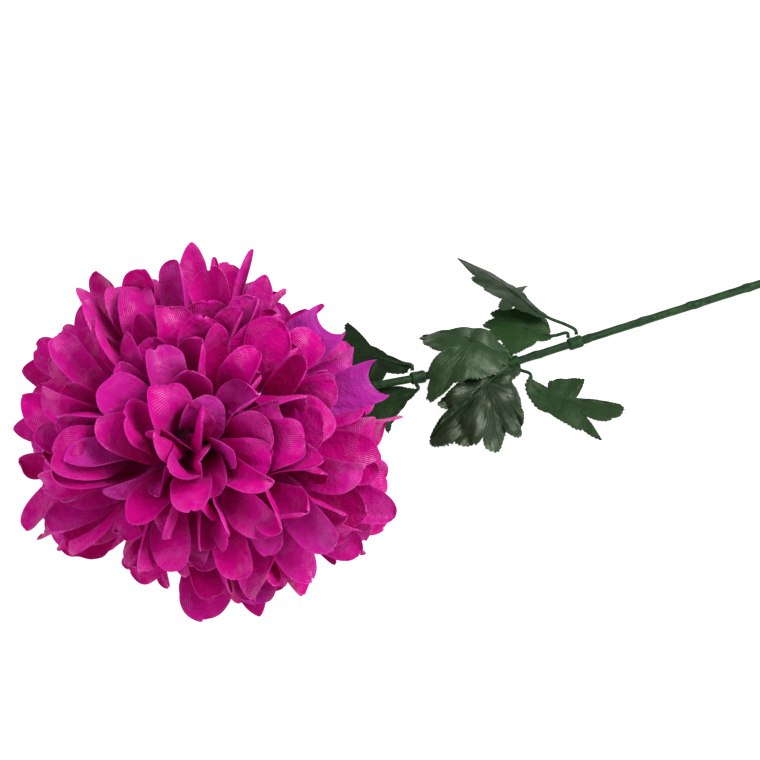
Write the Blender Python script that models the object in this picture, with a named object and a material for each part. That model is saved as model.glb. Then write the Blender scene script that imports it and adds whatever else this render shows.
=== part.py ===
"""Artificial chrysanthemum: one fabric pompom bloom on a wire stem with lobed leaves, lying on a table.

Units are metres, +Z is up and the table is z = 0. +X runs along the stem, from the bloom to the cut end.
The flower is laid out from the spot on the table under its bloom. At the end it is moved as a whole,
so that the origin lies on the table under the middle of its outer box.
"""

import math
import random

import bmesh
import bpy
import numpy as np
from mathutils.bvhtree import BVHTree

MM = 0.001

# Bloom: petals of one cut, stood round a small core in the order of a real flower head.
BLOOM_HEIGHT = 66.5 * MM  # centre of the bloom above the table
BLOOM_POLE = (-0.24, -0.58, 0.78)  # the way the open face looks
CORE_RADIUS = 28 * MM
PETAL_COUNT = 226
PETAL_LENGTH = 56 * MM
PETAL_WIDTH = 20.5 * MM
PETAL_THICKNESS = 1.2 * MM
PETAL_ROOT_RADIUS = 25 * MM  # sunk 3 mm into the core
FIRST_POLAR = 3  # degrees from the pole to the innermost petals
LAST_POLAR = 146  # and to the outermost, beside the calyx
CROWDING = 1.25  # above 1, petals stand closer near the pole than elsewhere
GOLDEN_ANGLE = math.pi * (3 - math.sqrt(5))
INCURVED_SHARE = 0.24  # petals that hook towards the pole and show their backs
EDGE_ON_SHARE = 0.12  # petals twisted so far that they stand edge on
# Petals are longer or shorter towards some sides: azimuth in degrees, and share of the length.
SIDES = ((48, -0.24), (105, -0.05), (152, 0.05), (184, 0.08), (257, -0.28), (345, 0.1))
BLOOM_SEED = 16
PETAL_TRIES = 10  # draws for a petal, of which it takes the one that crosses the fewest others
TABLE_SOFTNESS = 2 * MM  # height over which petals bend away from the table
TABLE_CLEARANCE = 0.2 * MM  # of the middle of a petal that is pressed on the table
PETAL_STATIONS = (0, 0.38, 0.7, 0.9, 0.995)
PETAL_COLUMNS = (-1, 0, 1)

# Petals that stray from the rule: polar angle and azimuth in degrees, length and width in millimetres,
# and lean to one side in degrees. Two wide ones with corners stand beside the neck, thin rolled ones at
# the top and long ones round the rim.
CREASED, TORN, ROLLED, LONG = "creased", "torn", "rolled", "long"
STRAY_PETALS = (
    (TORN, 87, 45, 52, 22, 0), (CREASED, 84, 21, 59, 19, 0), (LONG, 92, 96, 60, 13, 0),
    (ROLLED, 92, 86, 54, 8, 0), (ROLLED, 93, 78, 60, 6, 0), (LONG, 92, 69, 51, 12, 0),
    (ROLLED, 94, 63, 48, 5.5, -24), (ROLLED, 93, 57, 54, 6, -22), (LONG, 82, -20, 66, 17, 0),
    (LONG, 80, -33, 61, 18, 0), (ROLLED, 84, -41, 55, 7, 0), (LONG, 76, -69, 57, 14, 0),
    (LONG, 74, -87, 54.5, 23, 0), (LONG, 88, 177, 58, 14, 0),
)

# Calyx: the green plastic cup behind the petals, with the stem's socket.
GAP = 0.35 * MM
CALYX_RIM_ANGLE = 25  # degrees from the back pole, as seen from the bloom's centre
CALYX_WALL = 1.6 * MM
CALYX_END = 46 * MM  # from the bloom's centre to the mouth of the socket
CALYX_NECK_RADIUS = 4.2 * MM
CALYX_WAIST = (10.5 * MM, 35.5 * MM)  # radius, and distance from the bloom's centre, where it narrows
CALYX_NECK = (5.8 * MM, 40.5 * MM)  # and where its neck begins
CALYX_RIBS = 8
SOCKET_DEPTH = 11 * MM

# Stem: green plastic over a steel wire.
STEM_RADIUS = 1.9 * MM
STEM_END_RADIUS = 2.2 * MM
STEM_BORE_RADIUS = 1.1 * MM
WIRE_RADIUS = 0.75 * MM
WIRE_SHOWS = 3 * MM  # bare wire past the plastic at the cut end
NECK_PULL = np.array((35, -0.8, -6.2)) * MM  # the stem's direction at the neck sleeve, and how far it holds
MIDDLE_PULL = np.array((18, 0, -0.2)) * MM  # the same at the middle sleeve
STEM_END_X = 468 * MM
STEM_SIDES = 8
KNOT_SPACING = (19 * MM, 30 * MM)  # between the small swellings of the plastic
KNOT_MARGIN = 14 * MM  # from the middle sleeve to the first one, and from the last one to the cut end
KNOT_SWELL = 0.16
KNOT_HALF_LENGTH = 3.5 * MM
STEM_SEED = 5

# Sleeves: short plastic rings on the stem that carry the leaves.
SLEEVE_LENGTH = 7 * MM
SLEEVE_BORE = 2.4 * MM
SLEEVE_RADIUS = 3.4 * MM
SLEEVE_SIDES = 12
NECK_SLEEVE = np.array((110.2, 24.8, 12)) * MM
MIDDLE_SLEEVE = np.array((157.2, 21.3, 3.6)) * MM
LOWER_SLEEVE = np.array((190.2, 21.3, 3.45)) * MM
SLEEVES = {"sleeve_neck": NECK_SLEEVE, "sleeve_middle": MIDDLE_SLEEVE, "sleeve_lower": LOWER_SLEEVE}

LEAF_THICKNESS = 0.8 * MM
STALK_RADIUS = 0.85 * MM
STALK_START = 2.5 * MM  # the stretch that stands straight out of the sleeve
LEAF_RINGS = (0.5, 1.0)

# One entry for each leaf, in millimetres and degrees. Its seat is a sleeve, the place along it and the
# angle round it from the left side. The midrib runs on from there to the tip, and the main veins part at
# its point number "centre". A corner of the edge is a lobe's tip or a notch, by its angle from the midrib
# and its reach from the centre. Fold lifts the left and the right half of the blade, and curl bends their
# edges further.
LEAVES = {
    "leaf_neck_left": {
        "seat": ("sleeve_neck", -2, 22),
        "midrib": ((104.5, 33.5, 14), (96, 41.4, 12.5), (84, 51, 9.5), (71, 59, 6)),
        "centre": 1,
        "corners": ((-176, 18), (-150, 5), (-90, 4), (-45, 7.5), (-40, 25), (-30, 22), (-24, 21),
                    (-15, 32.5), (-2, 27), (8, 31), (22, 25), (42, 25), (60, 16), (85, 19), (112, 15),
                    (140, 9.5), (167, 17)),
        "fold": (-8, 16), "curl": (-20, -20), "roll": 0, "wave": 0.8,
    },
    "leaf_neck_right": {
        "seat": ("sleeve_neck", -2, 178),
        "midrib": ((103.5, 18.5, 10.5), (92.5, 18.5, 8), (81, 14.5, 6.5), (69, 10.5, 4.5)),
        "centre": 1,
        "corners": ((-175, 15), (-120, 9), (-88, 14), (-66, 12), (-45, 22), (-25, 16), (-5, 25), (22, 15),
                    (43, 12.5), (51, 15.5), (60, 11), (90, 8), (129, 8), (160, 10), (176, 15)),
        "fold": (4, 0), "curl": (-20, -15), "roll": 0, "wave": 0.8,
    },
    "leaf_middle_left": {
        "seat": ("sleeve_middle", -2.2, 72),
        "midrib": ((149.2, 25.8, 12.5), (142.2, 31.8, 16), (131.2, 40.8, 15.5), (121.2, 48.2, 10)),
        "centre": 1,
        "corners": ((-174, 19), (-150, 12), (-120, 9.5), (-63, 7), (-8, 14.5), (3, 28.5), (12, 26),
                    (27, 22.5), (43, 18), (50, 27.5), (57, 30), (63, 35), (70, 38), (77, 35), (84, 25),
                    (101, 21), (125, 18), (150, 16), (170, 18.5)),
        "fold": (21, 6), "curl": (-38, -10), "roll": 0, "wave": 0.6,
    },
    "leaf_middle_right": {
        "seat": ("sleeve_middle", -2.2, 148),
        "midrib": ((150.2, 15.3, 9), (139.2, 11.3, 10), (123.2, 1.8, 8.5), (106.2, -5.2, 4)),
        "centre": 1,
        "corners": ((-177, 17.5), (-122, 9.5), (-76, 9), (-42, 15), (-26, 26), (-15, 22.5), (-10, 31), (-1, 40),
                    (14, 32), (32, 30), (38, 26), (45, 32), (56, 29), (63, 24), (70, 31), (84, 26),
                    (106, 25), (131, 18.5), (155, 14.5), (174, 20)),
        "fold": (-2, 8), "curl": (-35, -30), "roll": 0, "wave": 1.2,
    },
    "leaf_middle_back": {
        "seat": ("sleeve_middle", 2, 165),
        "midrib": ((162.2, 10.8, 7), (161.2, 5.3, 6.5), (165.2, -2.2, 5.5),
                   (173.2, -7.2, 5.5), (185.2, -13.2, 5), (197.2, -18.7, 3)),
        "centre": 3,
        "corners": ((-175, 21), (-153, 15), (-125, 11), (-80, 14), (-60, 18), (-47, 27), (-40, 13),
                    (-33, 19), (-20, 24), (-4, 28), (4, 26.5), (9, 12), (16, 5), (40, 9), (56, 15),
                    (96, 11), (150, 16), (160, 12), (169, 17), (180, 21)),
        "fold": (8, 8), "curl": (-20, -20), "roll": 0, "wave": 0.7,
    },
    "leaf_lower_left": {
        "seat": ("sleeve_lower", 1.5, 42),
        "midrib": ((187.7, 29.8, 9), (181.2, 34.3, 11.5), (175.2, 41.8, 13),
                   (170.7, 52.8, 12.5), (163.2, 69.8, 8.5), (154.2, 85.8, 5.5)),
        "centre": 3,
        "corners": ((-172, 20), (-140, 7), (-95, 6), (-75, 15), (-58, 6), (-12, 20), (3, 37), (22, 22),
                    (34, 21.5), (46, 15.5), (69, 14), (90, 12.5), (98, 11), (107, 19), (118, 17),
                    (130, 12), (157, 14), (171, 20)),
        "fold": (6, -15), "curl": (6, 0), "roll": 20, "wave": 0.5,
    },
    "leaf_lower_right": {
        "seat": ("sleeve_lower", -2.2, 8),
        "midrib": ((179.2, 27.8, 6), (169.2, 34.8, 7), (159.2, 41.8, 6), (149.2, 48.3, 3.5)),
        "centre": 1,
        "corners": ((-175, 13), (-157, 14), (-119, 11.5), (-79, 10.5), (-48, 13.5), (-20, 19.5),
                    (-13, 16.5), (3, 21), (14, 17), (35, 18), (48, 14), (83, 18), (110, 12.5),
                    (144, 9), (168, 13)),
        "fold": (17, 5), "curl": (-16, -12), "roll": 0, "wave": 0.6,
    },
}
EDGE_BULGE = 0.06  # how far the edge bulges out between two corners, as a share of its reach


def unit(vector):
    return np.asarray(vector, float) / np.linalg.norm(vector)


def smooth_step(low, high, x):
    t = np.clip((x - low) / (high - low), 0, 1)
    return t * t * (3 - 2 * t)


BLOOM_CENTRE = np.array([0, 0, BLOOM_HEIGHT])
POLE = unit(BLOOM_POLE)
SIDE = unit(np.cross([0, 0, 1], POLE))
BLOOM_AXES = np.array([SIDE, np.cross(POLE, SIDE), POLE])


def plain_material(name, colour, roughness, metallic=0.0):
    made = bpy.data.materials.new(name)
    made.use_nodes = True
    shader = made.node_tree.nodes["Principled BSDF"]
    shader.inputs["Base Color"].default_value = (*colour, 1)
    shader.inputs["Roughness"].default_value = roughness
    shader.inputs["Metallic"].default_value = metallic
    return made


def new_object(name, points, faces, material):
    mesh = bpy.data.meshes.new(name)
    mesh.from_pydata([tuple(p) for p in points], [], [tuple(int(i) for i in face) for face in faces])
    tidy = bmesh.new()
    tidy.from_mesh(mesh)
    bmesh.ops.recalc_face_normals(tidy, faces=tidy.faces)
    tidy.to_mesh(mesh)
    tidy.free()
    mesh.materials.append(material)
    made = bpy.data.objects.new(name, mesh)
    bpy.context.scene.collection.objects.link(made)
    return made


def blade_solid(middle, triangles, half_thickness):
    """Vertices and faces of a closed blade: a sheet of triangles made thick, down to a sharp rim."""
    corners = middle[triangles]
    face_normals = np.cross(corners[:, 1] - corners[:, 0], corners[:, 2] - corners[:, 0])
    normals = np.zeros_like(middle)
    for k in range(3):
        np.add.at(normals, triangles[:, k], face_normals)
    normals /= np.linalg.norm(normals, axis=1, keepdims=True)

    corner_pairs = [triangles[:, [0, 1]], triangles[:, [1, 2]], triangles[:, [2, 0]]]
    sides = np.sort(np.concatenate(corner_pairs), axis=1)
    edges, uses = np.unique(sides, axis=0, return_counts=True)
    inner = np.ones(len(middle), bool)
    inner[edges[uses == 1]] = False
    top = middle + normals * half_thickness * inner[:, None]
    under = middle[inner] - (normals * half_thickness)[inner]
    index = np.arange(len(middle))
    index[inner] = len(middle) + np.arange(inner.sum())
    return np.concatenate([top, under]), np.concatenate([triangles, index[triangles][:, ::-1]])


def grid_triangles(rows, columns):
    """Triangles over a grid of points, split in mirror image on either side of the middle column."""
    cell = np.arange(rows * columns).reshape(rows, columns)
    found = []
    for i in range(rows - 1):
        for j in range(columns - 1):
            a, b, c, d = cell[i, j], cell[i, j + 1], cell[i + 1, j + 1], cell[i + 1, j]
            found += [(a, b, c), (a, c, d)] if j >= columns // 2 else [(a, b, d), (b, c, d)]
    return np.array(found)


def tube(path, radii, sides, up=(0, 0, 1)):
    """Rings of points round a path, each square to it."""
    along = np.gradient(path, axis=0)
    along /= np.linalg.norm(along, axis=1, keepdims=True)
    across = np.cross(along, np.asarray(up, float))
    across /= np.linalg.norm(across, axis=1, keepdims=True)
    third = np.cross(across, along)
    turn = np.arange(sides) * 2 * math.pi / sides
    ring = np.cos(turn)[None, :, None] * across[:, None] + np.sin(turn)[None, :, None] * third[:, None]
    return path[:, None] + ring * np.asarray(radii, float)[:, None, None]


def skin(rings, close=False):
    """Quads between rings of points, and a cap on each end unless the last ring meets the first."""
    count, sides = rings.shape[:2]
    index = np.arange(count * sides).reshape(count, sides)
    faces = []
    for i in range(count if close else count - 1):
        here, there = index[i], index[(i + 1) % count]
        for j in range(sides):
            k = (j + 1) % sides
            faces.append((here[j], here[k], there[k], there[j]))
    if not close:
        faces += [tuple(index[0][::-1]), tuple(index[-1])]
    return rings.reshape(-1, 3), faces


def fuse(body, others):
    """Joins every object of a collection to the body with one Boolean, and removes them."""
    union = body.modifiers.new("union", "BOOLEAN")
    union.operation = "UNION"
    union.operand_type = "COLLECTION"
    union.collection = others
    union.solver = "MANIFOLD"
    bpy.context.view_layer.update()
    graph = bpy.context.evaluated_depsgraph_get()
    joined = bpy.data.meshes.new_from_object(body.evaluated_get(graph))
    body.modifiers.clear()
    body.data = joined
    for other in list(others.objects):
        bpy.data.objects.remove(other)
    bpy.data.collections.remove(others)
    keep_largest_shell(joined)


def keep_largest_shell(mesh):
    """Drops scraps that the union left loose and fills hollows that it sealed."""
    work = bmesh.new()
    work.from_mesh(mesh)
    unseen = set(work.verts)
    shells = []
    while unseen:
        shell = {unseen.pop()}
        edge_of_search = list(shell)
        while edge_of_search:
            vertex = edge_of_search.pop()
            near = {edge.other_vert(vertex) for edge in vertex.link_edges} - shell
            shell |= near
            edge_of_search += near
        unseen -= shell
        shells.append(shell)
    largest = max(shells, key=len)
    bmesh.ops.delete(work, geom=[v for v in work.verts if v not in largest], context="VERTS")
    work.to_mesh(mesh)
    work.free()


def drawn_petal(k, draw):
    """Shape values for petal number k, counted from the pole outwards."""
    top, bottom = math.cos(math.radians(FIRST_POLAR)), math.cos(math.radians(LAST_POLAR))
    polar = math.acos(top + (bottom - top) * ((k + 0.5) / PETAL_COUNT) ** CROWDING)
    polar += math.radians(draw.uniform(-9, 9))
    inner = 1 - smooth_step(math.radians(8), math.radians(42), polar)
    back = smooth_step(math.radians(95), math.radians(140), polar)
    azimuth = k * GOLDEN_ANGLE + math.radians(draw.uniform(-15, 15))
    side = sum(share * max(0, math.cos(azimuth - math.radians(middle))) ** 8 for middle, share in SIDES)
    petal = {
        "polar": min(abs(polar), math.radians(LAST_POLAR)),
        "azimuth": azimuth,
        "length": PETAL_LENGTH * (draw.uniform(0.82, 1.1) + side * (1 - inner) - 0.1 * inner - 0.08 * back),
        "width": PETAL_WIDTH * (draw.uniform(0.76, 1.16) - 0.08 * inner),
        "lead": math.radians(draw.uniform(0, 26)),
        "lag": math.radians(draw.uniform(-15, 42) - 14 * back),
        "cup": draw.uniform(0.25, 1.1),
        "spoon": math.radians(draw.uniform(-75, 35)),
        "twist": math.radians(draw.gauss(0, 34)),
        "lean": math.radians(draw.gauss(0, 22)),
        "point": draw.uniform(0.3, 0.46) if draw.random() < 0.85 else draw.uniform(0.55, 0.75),
        "shoulders": (draw.uniform(0.13, 0.3), draw.uniform(0.13, 0.3)),
    }
    kind = draw.random()
    if kind < INCURVED_SHARE:
        petal["lag"] = math.radians(draw.uniform(-60, -25))
        petal["cup"] = draw.uniform(0.8, 1.3)
    elif kind < INCURVED_SHARE + EDGE_ON_SHARE:
        petal["twist"] = math.radians(draw.choice((-1, 1)) * draw.uniform(50, 80))
        petal["cup"] = draw.uniform(1.0, 1.5)
    return petal


def stray_petals(draw):
    """The petals that are placed by hand, with the same shape values as the drawn ones."""
    found = []
    for kind, polar, azimuth, length, width, lean in STRAY_PETALS:
        creased, rolled = kind in (CREASED, TORN), kind == ROLLED
        found.append({
            "polar": math.radians(polar), "azimuth": math.radians(azimuth),
            "length": length * MM, "width": width * MM,
            "lead": math.radians(draw.uniform(2, 8)), "lag": math.radians(draw.uniform(0, 10)),
            "cup": 1.35 if rolled else 0.5,
            "spoon": math.radians(-15 if creased else draw.uniform(-8, 12)),
            "twist": math.radians(draw.gauss(0, 14)),
            "lean": math.radians(lean + draw.uniform(-8, 8)),
            "point": {CREASED: 0.35, TORN: 0.9, ROLLED: 0.4, LONG: 0.7 if width < 17 else 0.42}[kind],
            "shoulders": {CREASED: (0.06, 0.14), TORN: (0.2, 0.3)}.get(kind, (0.26, 0.26)),
        })
    return found


def settled_petals():
    """The stray petals, and then the rest from the pole outwards.

    Each of the rest is the best of a few draws: clear of the stem, and crossing the fewest others.
    """
    draw = random.Random(BLOOM_SEED)
    triangles = grid_triangles(len(PETAL_STATIONS), len(PETAL_COLUMNS)).tolist()
    keep_off = neck_guard()
    points, faces, settled = [], [], []
    strays = stray_petals(draw)
    for k in range(-len(strays), PETAL_COUNT):
        others = BVHTree.FromPolygons(points, faces, epsilon=0) if faces else None
        best = None
        for _ in range(PETAL_TRIES):
            petal = strays[k] if k < 0 else drawn_petal(k, draw)
            middle = petal_middle(petal, (0.12, *PETAL_STATIONS[1:]), PETAL_COLUMNS).reshape(-1, 3)
            blade = BVHTree.FromPolygons(middle.tolist(), triangles, epsilon=0)
            if blade.overlap(keep_off):
                continue
            crossings = len(blade.overlap(others)) if others else 0
            if best is None or crossings < best[0]:
                best = (crossings, petal, middle)
            if k < 0 or not crossings:
                break
        if best:
            settled.append(best[1])
            faces += [[i + len(points) for i in triangle] for triangle in triangles]
            points += best[2].tolist()
    return settled


def neck_guard():
    """A coarse tube and a cone that leave room round the calyx and the bent part of the stem."""
    path, _ = stem_path()
    near = path[path[:, 0] < NECK_SLEEVE[0]]
    points, faces = skin(tube(near, np.full(len(near), STEM_RADIUS + PETAL_THICKNESS + GAP), 6))
    mouth = BLOOM_CENTRE - POLE * CORE_RADIUS
    end = BLOOM_CENTRE - POLE * (CALYX_END + 2 * MM)
    rim = CORE_RADIUS * math.sin(math.radians(CALYX_RIM_ANGLE)) + CALYX_WALL + PETAL_THICKNESS
    narrow = CALYX_NECK_RADIUS + PETAL_THICKNESS
    cone, cone_faces = skin(tube(np.array([mouth, end]), (rim, narrow), 12, (1, 0, 0)))
    faces = faces + [tuple(i + len(points) for i in face) for face in cone_faces]
    corners = np.concatenate([points, cone]).tolist()
    return BVHTree.FromPolygons(corners, [[int(i) for i in face] for face in faces], epsilon=0)


def petal_middle(petal, stations, columns):
    """The petal's middle surface as a grid of points."""
    u = np.asarray(stations, float)
    steps = np.linspace(0, 1, 41)
    azimuth = petal["azimuth"]
    bend = petal["polar"] - petal["lead"] + (petal["lead"] + petal["lag"]) * steps**1.4
    bend -= petal["spoon"] * smooth_step(0.7, 1.0, steps)
    out = np.array([math.cos(azimuth), math.sin(azimuth), 0])
    side = np.array([-math.sin(azimuth), math.cos(azimuth), 0])
    pole = np.array([0.0, 0, 1])
    tangent = np.sin(bend)[:, None] * out + np.cos(bend)[:, None] * pole
    facing = -np.cos(bend)[:, None] * out + np.sin(bend)[:, None] * pole
    lean = (petal["lean"] * steps)[:, None]
    heading = np.cos(lean) * tangent + np.sin(lean) * side
    swung = np.cos(lean) * side - np.sin(lean) * tangent
    root = PETAL_ROOT_RADIUS * (math.sin(petal["polar"]) * out + math.cos(petal["polar"]) * pole)
    steps_out = np.cumsum((heading[1:] + heading[:-1]) / 2, axis=0) / (len(steps) - 1)
    spine = root + petal["length"] * np.concatenate([np.zeros((1, 3)), steps_out])
    twist = (petal["twist"] * smooth_step(0.1, 0.8, steps))[:, None]
    across = np.cos(twist) * swung + np.sin(twist) * facing
    inward = np.cos(twist) * facing - np.sin(twist) * swung

    def at(values):
        return np.stack([np.interp(u, steps, values[:, i]) for i in range(3)], axis=1)[:, None]

    v = np.asarray(columns, float)[None]
    half_width = petal_half_width(petal, u[:, None], v)
    cup = petal["cup"] * smooth_step(0.0, 0.5, u)[:, None] + 0.05
    sideways = half_width * np.sin(cup * v) / cup
    lift = half_width * (1 - np.cos(cup * v)) / cup
    local = at(spine) + sideways[..., None] * at(across) + lift[..., None] * at(inward)
    return on_table(local @ BLOOM_AXES + BLOOM_CENTRE)


def petal_half_width(petal, u, v):
    """Half the petal's width, with a shoulder on each side where its rounded end begins."""
    claw = 0.24 + 0.76 * smooth_step(0.15, 0.74, u)
    left, right = petal["shoulders"]
    end = right + (left - right) * (1 - v) / 2
    tip = np.clip((u - 1 + end) / end, 0, 1)
    return petal["width"] / 2 * claw * (1 - tip**2) ** petal["point"]


def on_table(points):
    """Points that would sink into the table bend smoothly away from it and end just above it."""
    room = (points[..., 2] - TABLE_CLEARANCE) / TABLE_SOFTNESS
    eased = np.where(room < 1, np.exp(np.minimum(room, 1) - 1), room)
    moved = points.copy()
    moved[..., 2] = TABLE_CLEARANCE + eased * TABLE_SOFTNESS
    return moved


def make_bloom(material):
    """The petals, fused to the core by one union."""
    core_mesh = bmesh.new()
    bmesh.ops.create_icosphere(core_mesh, subdivisions=3, radius=CORE_RADIUS)
    mesh = bpy.data.meshes.new("bloom")
    core_mesh.to_mesh(mesh)
    core_mesh.free()
    mesh.materials.append(material)
    bloom = bpy.data.objects.new("bloom", mesh)
    bloom.location = BLOOM_CENTRE
    bpy.context.scene.collection.objects.link(bloom)

    petals = bpy.data.collections.new("petals")
    bpy.context.scene.collection.children.link(petals)
    triangles = grid_triangles(len(PETAL_STATIONS), len(PETAL_COLUMNS))
    for k, petal in enumerate(settled_petals()):
        middle = petal_middle(petal, PETAL_STATIONS, PETAL_COLUMNS).reshape(-1, 3)
        points, faces = blade_solid(middle, triangles, PETAL_THICKNESS / 2)
        points[:, 2] = np.maximum(points[:, 2], 0)
        blade = new_object(f"petal_{k}", points, faces, material)
        bpy.context.scene.collection.objects.unlink(blade)
        petals.objects.link(blade)
    fuse(bloom, petals)
    return bloom


def bezier(start, start_handle, end_handle, end, count):
    t = np.linspace(0, 1, count)[:, None]
    s = 1 - t
    return s**3 * start + 3 * s * s * t * start_handle + 3 * s * t * t * end_handle + t**3 * end


def stem_path():
    """The stem's middle line from the calyx to the cut end, and the number of its points that are bent."""
    socket = BLOOM_CENTRE - POLE * (CALYX_END - SOCKET_DEPTH + GAP)
    leaves_cup = BLOOM_CENTRE - POLE * (CALYX_END + 5 * MM)
    neck, middle = NECK_SLEEVE, MIDDLE_SLEEVE
    first = bezier(leaves_cup, leaves_cup - POLE * 25 * MM, neck - NECK_PULL * 1.1, neck, 13)
    second = bezier(neck, neck + NECK_PULL * 0.5, middle - MIDDLE_PULL, middle, 7)
    bent = np.concatenate([[socket], first, second[1:]])
    end = np.array([STEM_END_X, middle[1], STEM_END_RADIUS])
    return np.concatenate([bent, [end]]), len(bent)


def knotted_stem_path():
    """The stem's path with extra points for its knots, and the radius at each point."""
    path, bent = stem_path()
    start, end = path[bent - 1], path[-1]
    length = np.linalg.norm(end - start)
    draw = random.Random(STEM_SEED)
    points, radii = list(path[:bent]), [STEM_RADIUS] * bent
    place = KNOT_MARGIN
    while place < length - KNOT_MARGIN:
        for offset, swell in ((-1, 0), (0, KNOT_SWELL), (1, 0)):
            share = (place + offset * KNOT_HALF_LENGTH) / length
            points.append(start + (end - start) * share)
            radii.append((STEM_RADIUS + (STEM_END_RADIUS - STEM_RADIUS) * share) * (1 + swell))
        place += draw.uniform(*KNOT_SPACING)
    points.append(end)
    radii.append(STEM_END_RADIUS)
    return np.array(points), np.array(radii)


def make_stem(plastic, steel):
    """The plastic coat, with a bore from end to end, and the wire in it."""
    outer_path, radii = knotted_stem_path()
    inner_path, _ = stem_path()
    outer = tube(outer_path, radii, STEM_SIDES)
    bore = tube(inner_path, np.full(len(inner_path), STEM_BORE_RADIUS), STEM_SIDES)
    points, faces = skin(np.concatenate([outer, bore[::-1]]), close=True)
    coat = new_object("stem", points, faces, plastic)
    wire_path = inner_path.copy()
    wire_path[-1, 0] += WIRE_SHOWS
    points, faces = skin(tube(wire_path, np.full(len(wire_path), WIRE_RADIUS), STEM_SIDES))
    return coat, new_object("stem_wire", points, faces, steel)


def sleeve_axes(name):
    """Directions along the stem, to its left and up from it, at a sleeve."""
    place = SLEEVES[name]
    path, bent = stem_path()
    nearest = min(int(np.argmin(np.linalg.norm(path[:bent] - place, axis=1))), bent - 1)
    along = unit(path[nearest + 1] - path[nearest - 1] if nearest < bent - 1 else path[-1] - path[nearest])
    left = unit(np.cross([0, 0, 1], along))
    return along, left, np.cross(along, left)


def make_sleeve(name, plastic):
    """A ring round the stem, in line with it."""
    along, _, _ = sleeve_axes(name)
    half = SLEEVE_LENGTH / 2
    places = np.array([-half, -half * 0.7, half * 0.7, half])
    rim = SLEEVE_RADIUS - np.array([0.5, 0, 0, 0.5]) * MM
    outside = tube(SLEEVES[name] + along * places[:, None], rim, SLEEVE_SIDES)
    ends = SLEEVES[name] + along * places[[0, -1], None]
    inside = tube(ends, np.full(2, SLEEVE_BORE), SLEEVE_SIDES)[::-1]
    points, faces = skin(np.concatenate([outside, inside]), close=True)
    return new_object(name, points, faces, plastic)


def make_calyx(plastic):
    """A ribbed cup turned about the pole, hollow for the core and with a blind socket for the stem."""
    sides = 2 * CALYX_RIBS
    inner = CORE_RADIUS + GAP
    rim = math.radians(CALYX_RIM_ANGLE)
    angles = np.linspace(rim, 0.12, 4)
    cup = [(inner * math.sin(a), inner * math.cos(a)) for a in angles] + [(0, inner)]
    outer = inner + CALYX_WALL
    edge = outer * math.sin(rim)
    back = [(edge, outer * math.cos(rim)), (edge + 0.6 * MM, outer * 0.98),
            CALYX_WAIST, CALYX_NECK, (CALYX_NECK_RADIUS, CALYX_END)]
    hole = STEM_RADIUS + GAP
    socket = [(hole, CALYX_END), (hole, CALYX_END - SOCKET_DEPTH), (0, CALYX_END - SOCKET_DEPTH)]
    profile = cup[::-1] + back + socket
    points, rings = [], []
    for number, (radius, depth) in enumerate(profile):
        middle = BLOOM_CENTRE - POLE * depth
        if radius == 0:
            rings.append([len(points)] * sides)
            points.append(middle)
            continue
        ribbed = len(cup) < number < len(cup) + len(back) - 1
        ring = []
        for j in range(sides):
            angle = 2 * math.pi * j / sides
            reach = radius * (1.06 if ribbed and j % 2 else 1)
            ring.append(len(points))
            outward = math.cos(angle) * BLOOM_AXES[0] + math.sin(angle) * BLOOM_AXES[1]
            points.append(middle + outward * reach)
        rings.append(ring)
    faces = []
    for here, there in zip(rings, rings[1:]):
        for j in range(sides):
            k = (j + 1) % sides
            faces.append(tuple(dict.fromkeys((here[j], here[k], there[k], there[j]))))
    return new_object("calyx", points, faces, plastic)


def midrib_knots(leaf):
    """The midrib's points, led by two that start the stalk square to its sleeve."""
    sleeve, offset, angle = leaf["seat"]
    along, left, upward = sleeve_axes(sleeve)
    outward = math.cos(math.radians(angle)) * left + math.sin(math.radians(angle)) * upward
    foot = SLEEVES[sleeve] + along * offset * MM
    start = [foot + outward * (SLEEVE_RADIUS + GAP), foot + outward * (SLEEVE_RADIUS + GAP + STALK_START)]
    return np.concatenate([start, np.array(leaf["midrib"]) * MM])


def midrib_curve(leaf, count=81):
    """Evenly spaced points on a smooth curve through the midrib's points, and the centre's place on it."""
    knots = midrib_knots(leaf)
    padded = np.concatenate([[2 * knots[0] - knots[1]], knots, [2 * knots[-1] - knots[-2]]])
    fine, centre = [], None
    for k in range(len(knots) - 1):
        if k == leaf["centre"] + 2:
            centre = len(fine)
        a, b, c, d = padded[k:k + 4]
        for t in np.arange(20) / 20:
            fine.append(0.5 * (2 * b + (c - a) * t + (2 * a - 5 * b + 4 * c - d) * t * t
                               + (3 * b - a - 3 * c + d) * t**3))
    fine = np.array(fine + [knots[-1]])
    length = np.concatenate([[0], np.cumsum(np.linalg.norm(np.diff(fine, axis=0), axis=1))])
    even = np.linspace(0, length[-1], count)
    curve = np.stack([np.interp(even, length, fine[:, i]) for i in range(3)], axis=1)
    return curve, even, length[centre]


def edge_reach(leaf, angle):
    """Distance from the leaf's centre to its edge in a direction, where the edge nearly runs straight."""
    corners = leaf["corners"]
    for (start, near), (end, far) in zip(corners, corners[1:] + corners[:1]):
        span = (end - start) % 360
        past = (angle - start) % 360
        if past <= span:
            break
    on, left = math.radians(past), math.radians(span - past)
    straight = near * far * math.sin(on + left) / (near * math.sin(on) + far * math.sin(left))
    return MM * straight * (1 + EDGE_BULGE * math.sin(math.pi * past / span))


def leaf_edge_angles(leaf):
    """Directions of the outline's points: each corner, and one between two that are far apart."""
    corners = leaf["corners"]
    found = []
    for (start, _), (end, _) in zip(corners, corners[1:] + corners[:1]):
        span = (end - start) % 360
        found.append(start)
        if span > 16:
            found.append(start + span / 2)
    return found


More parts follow.
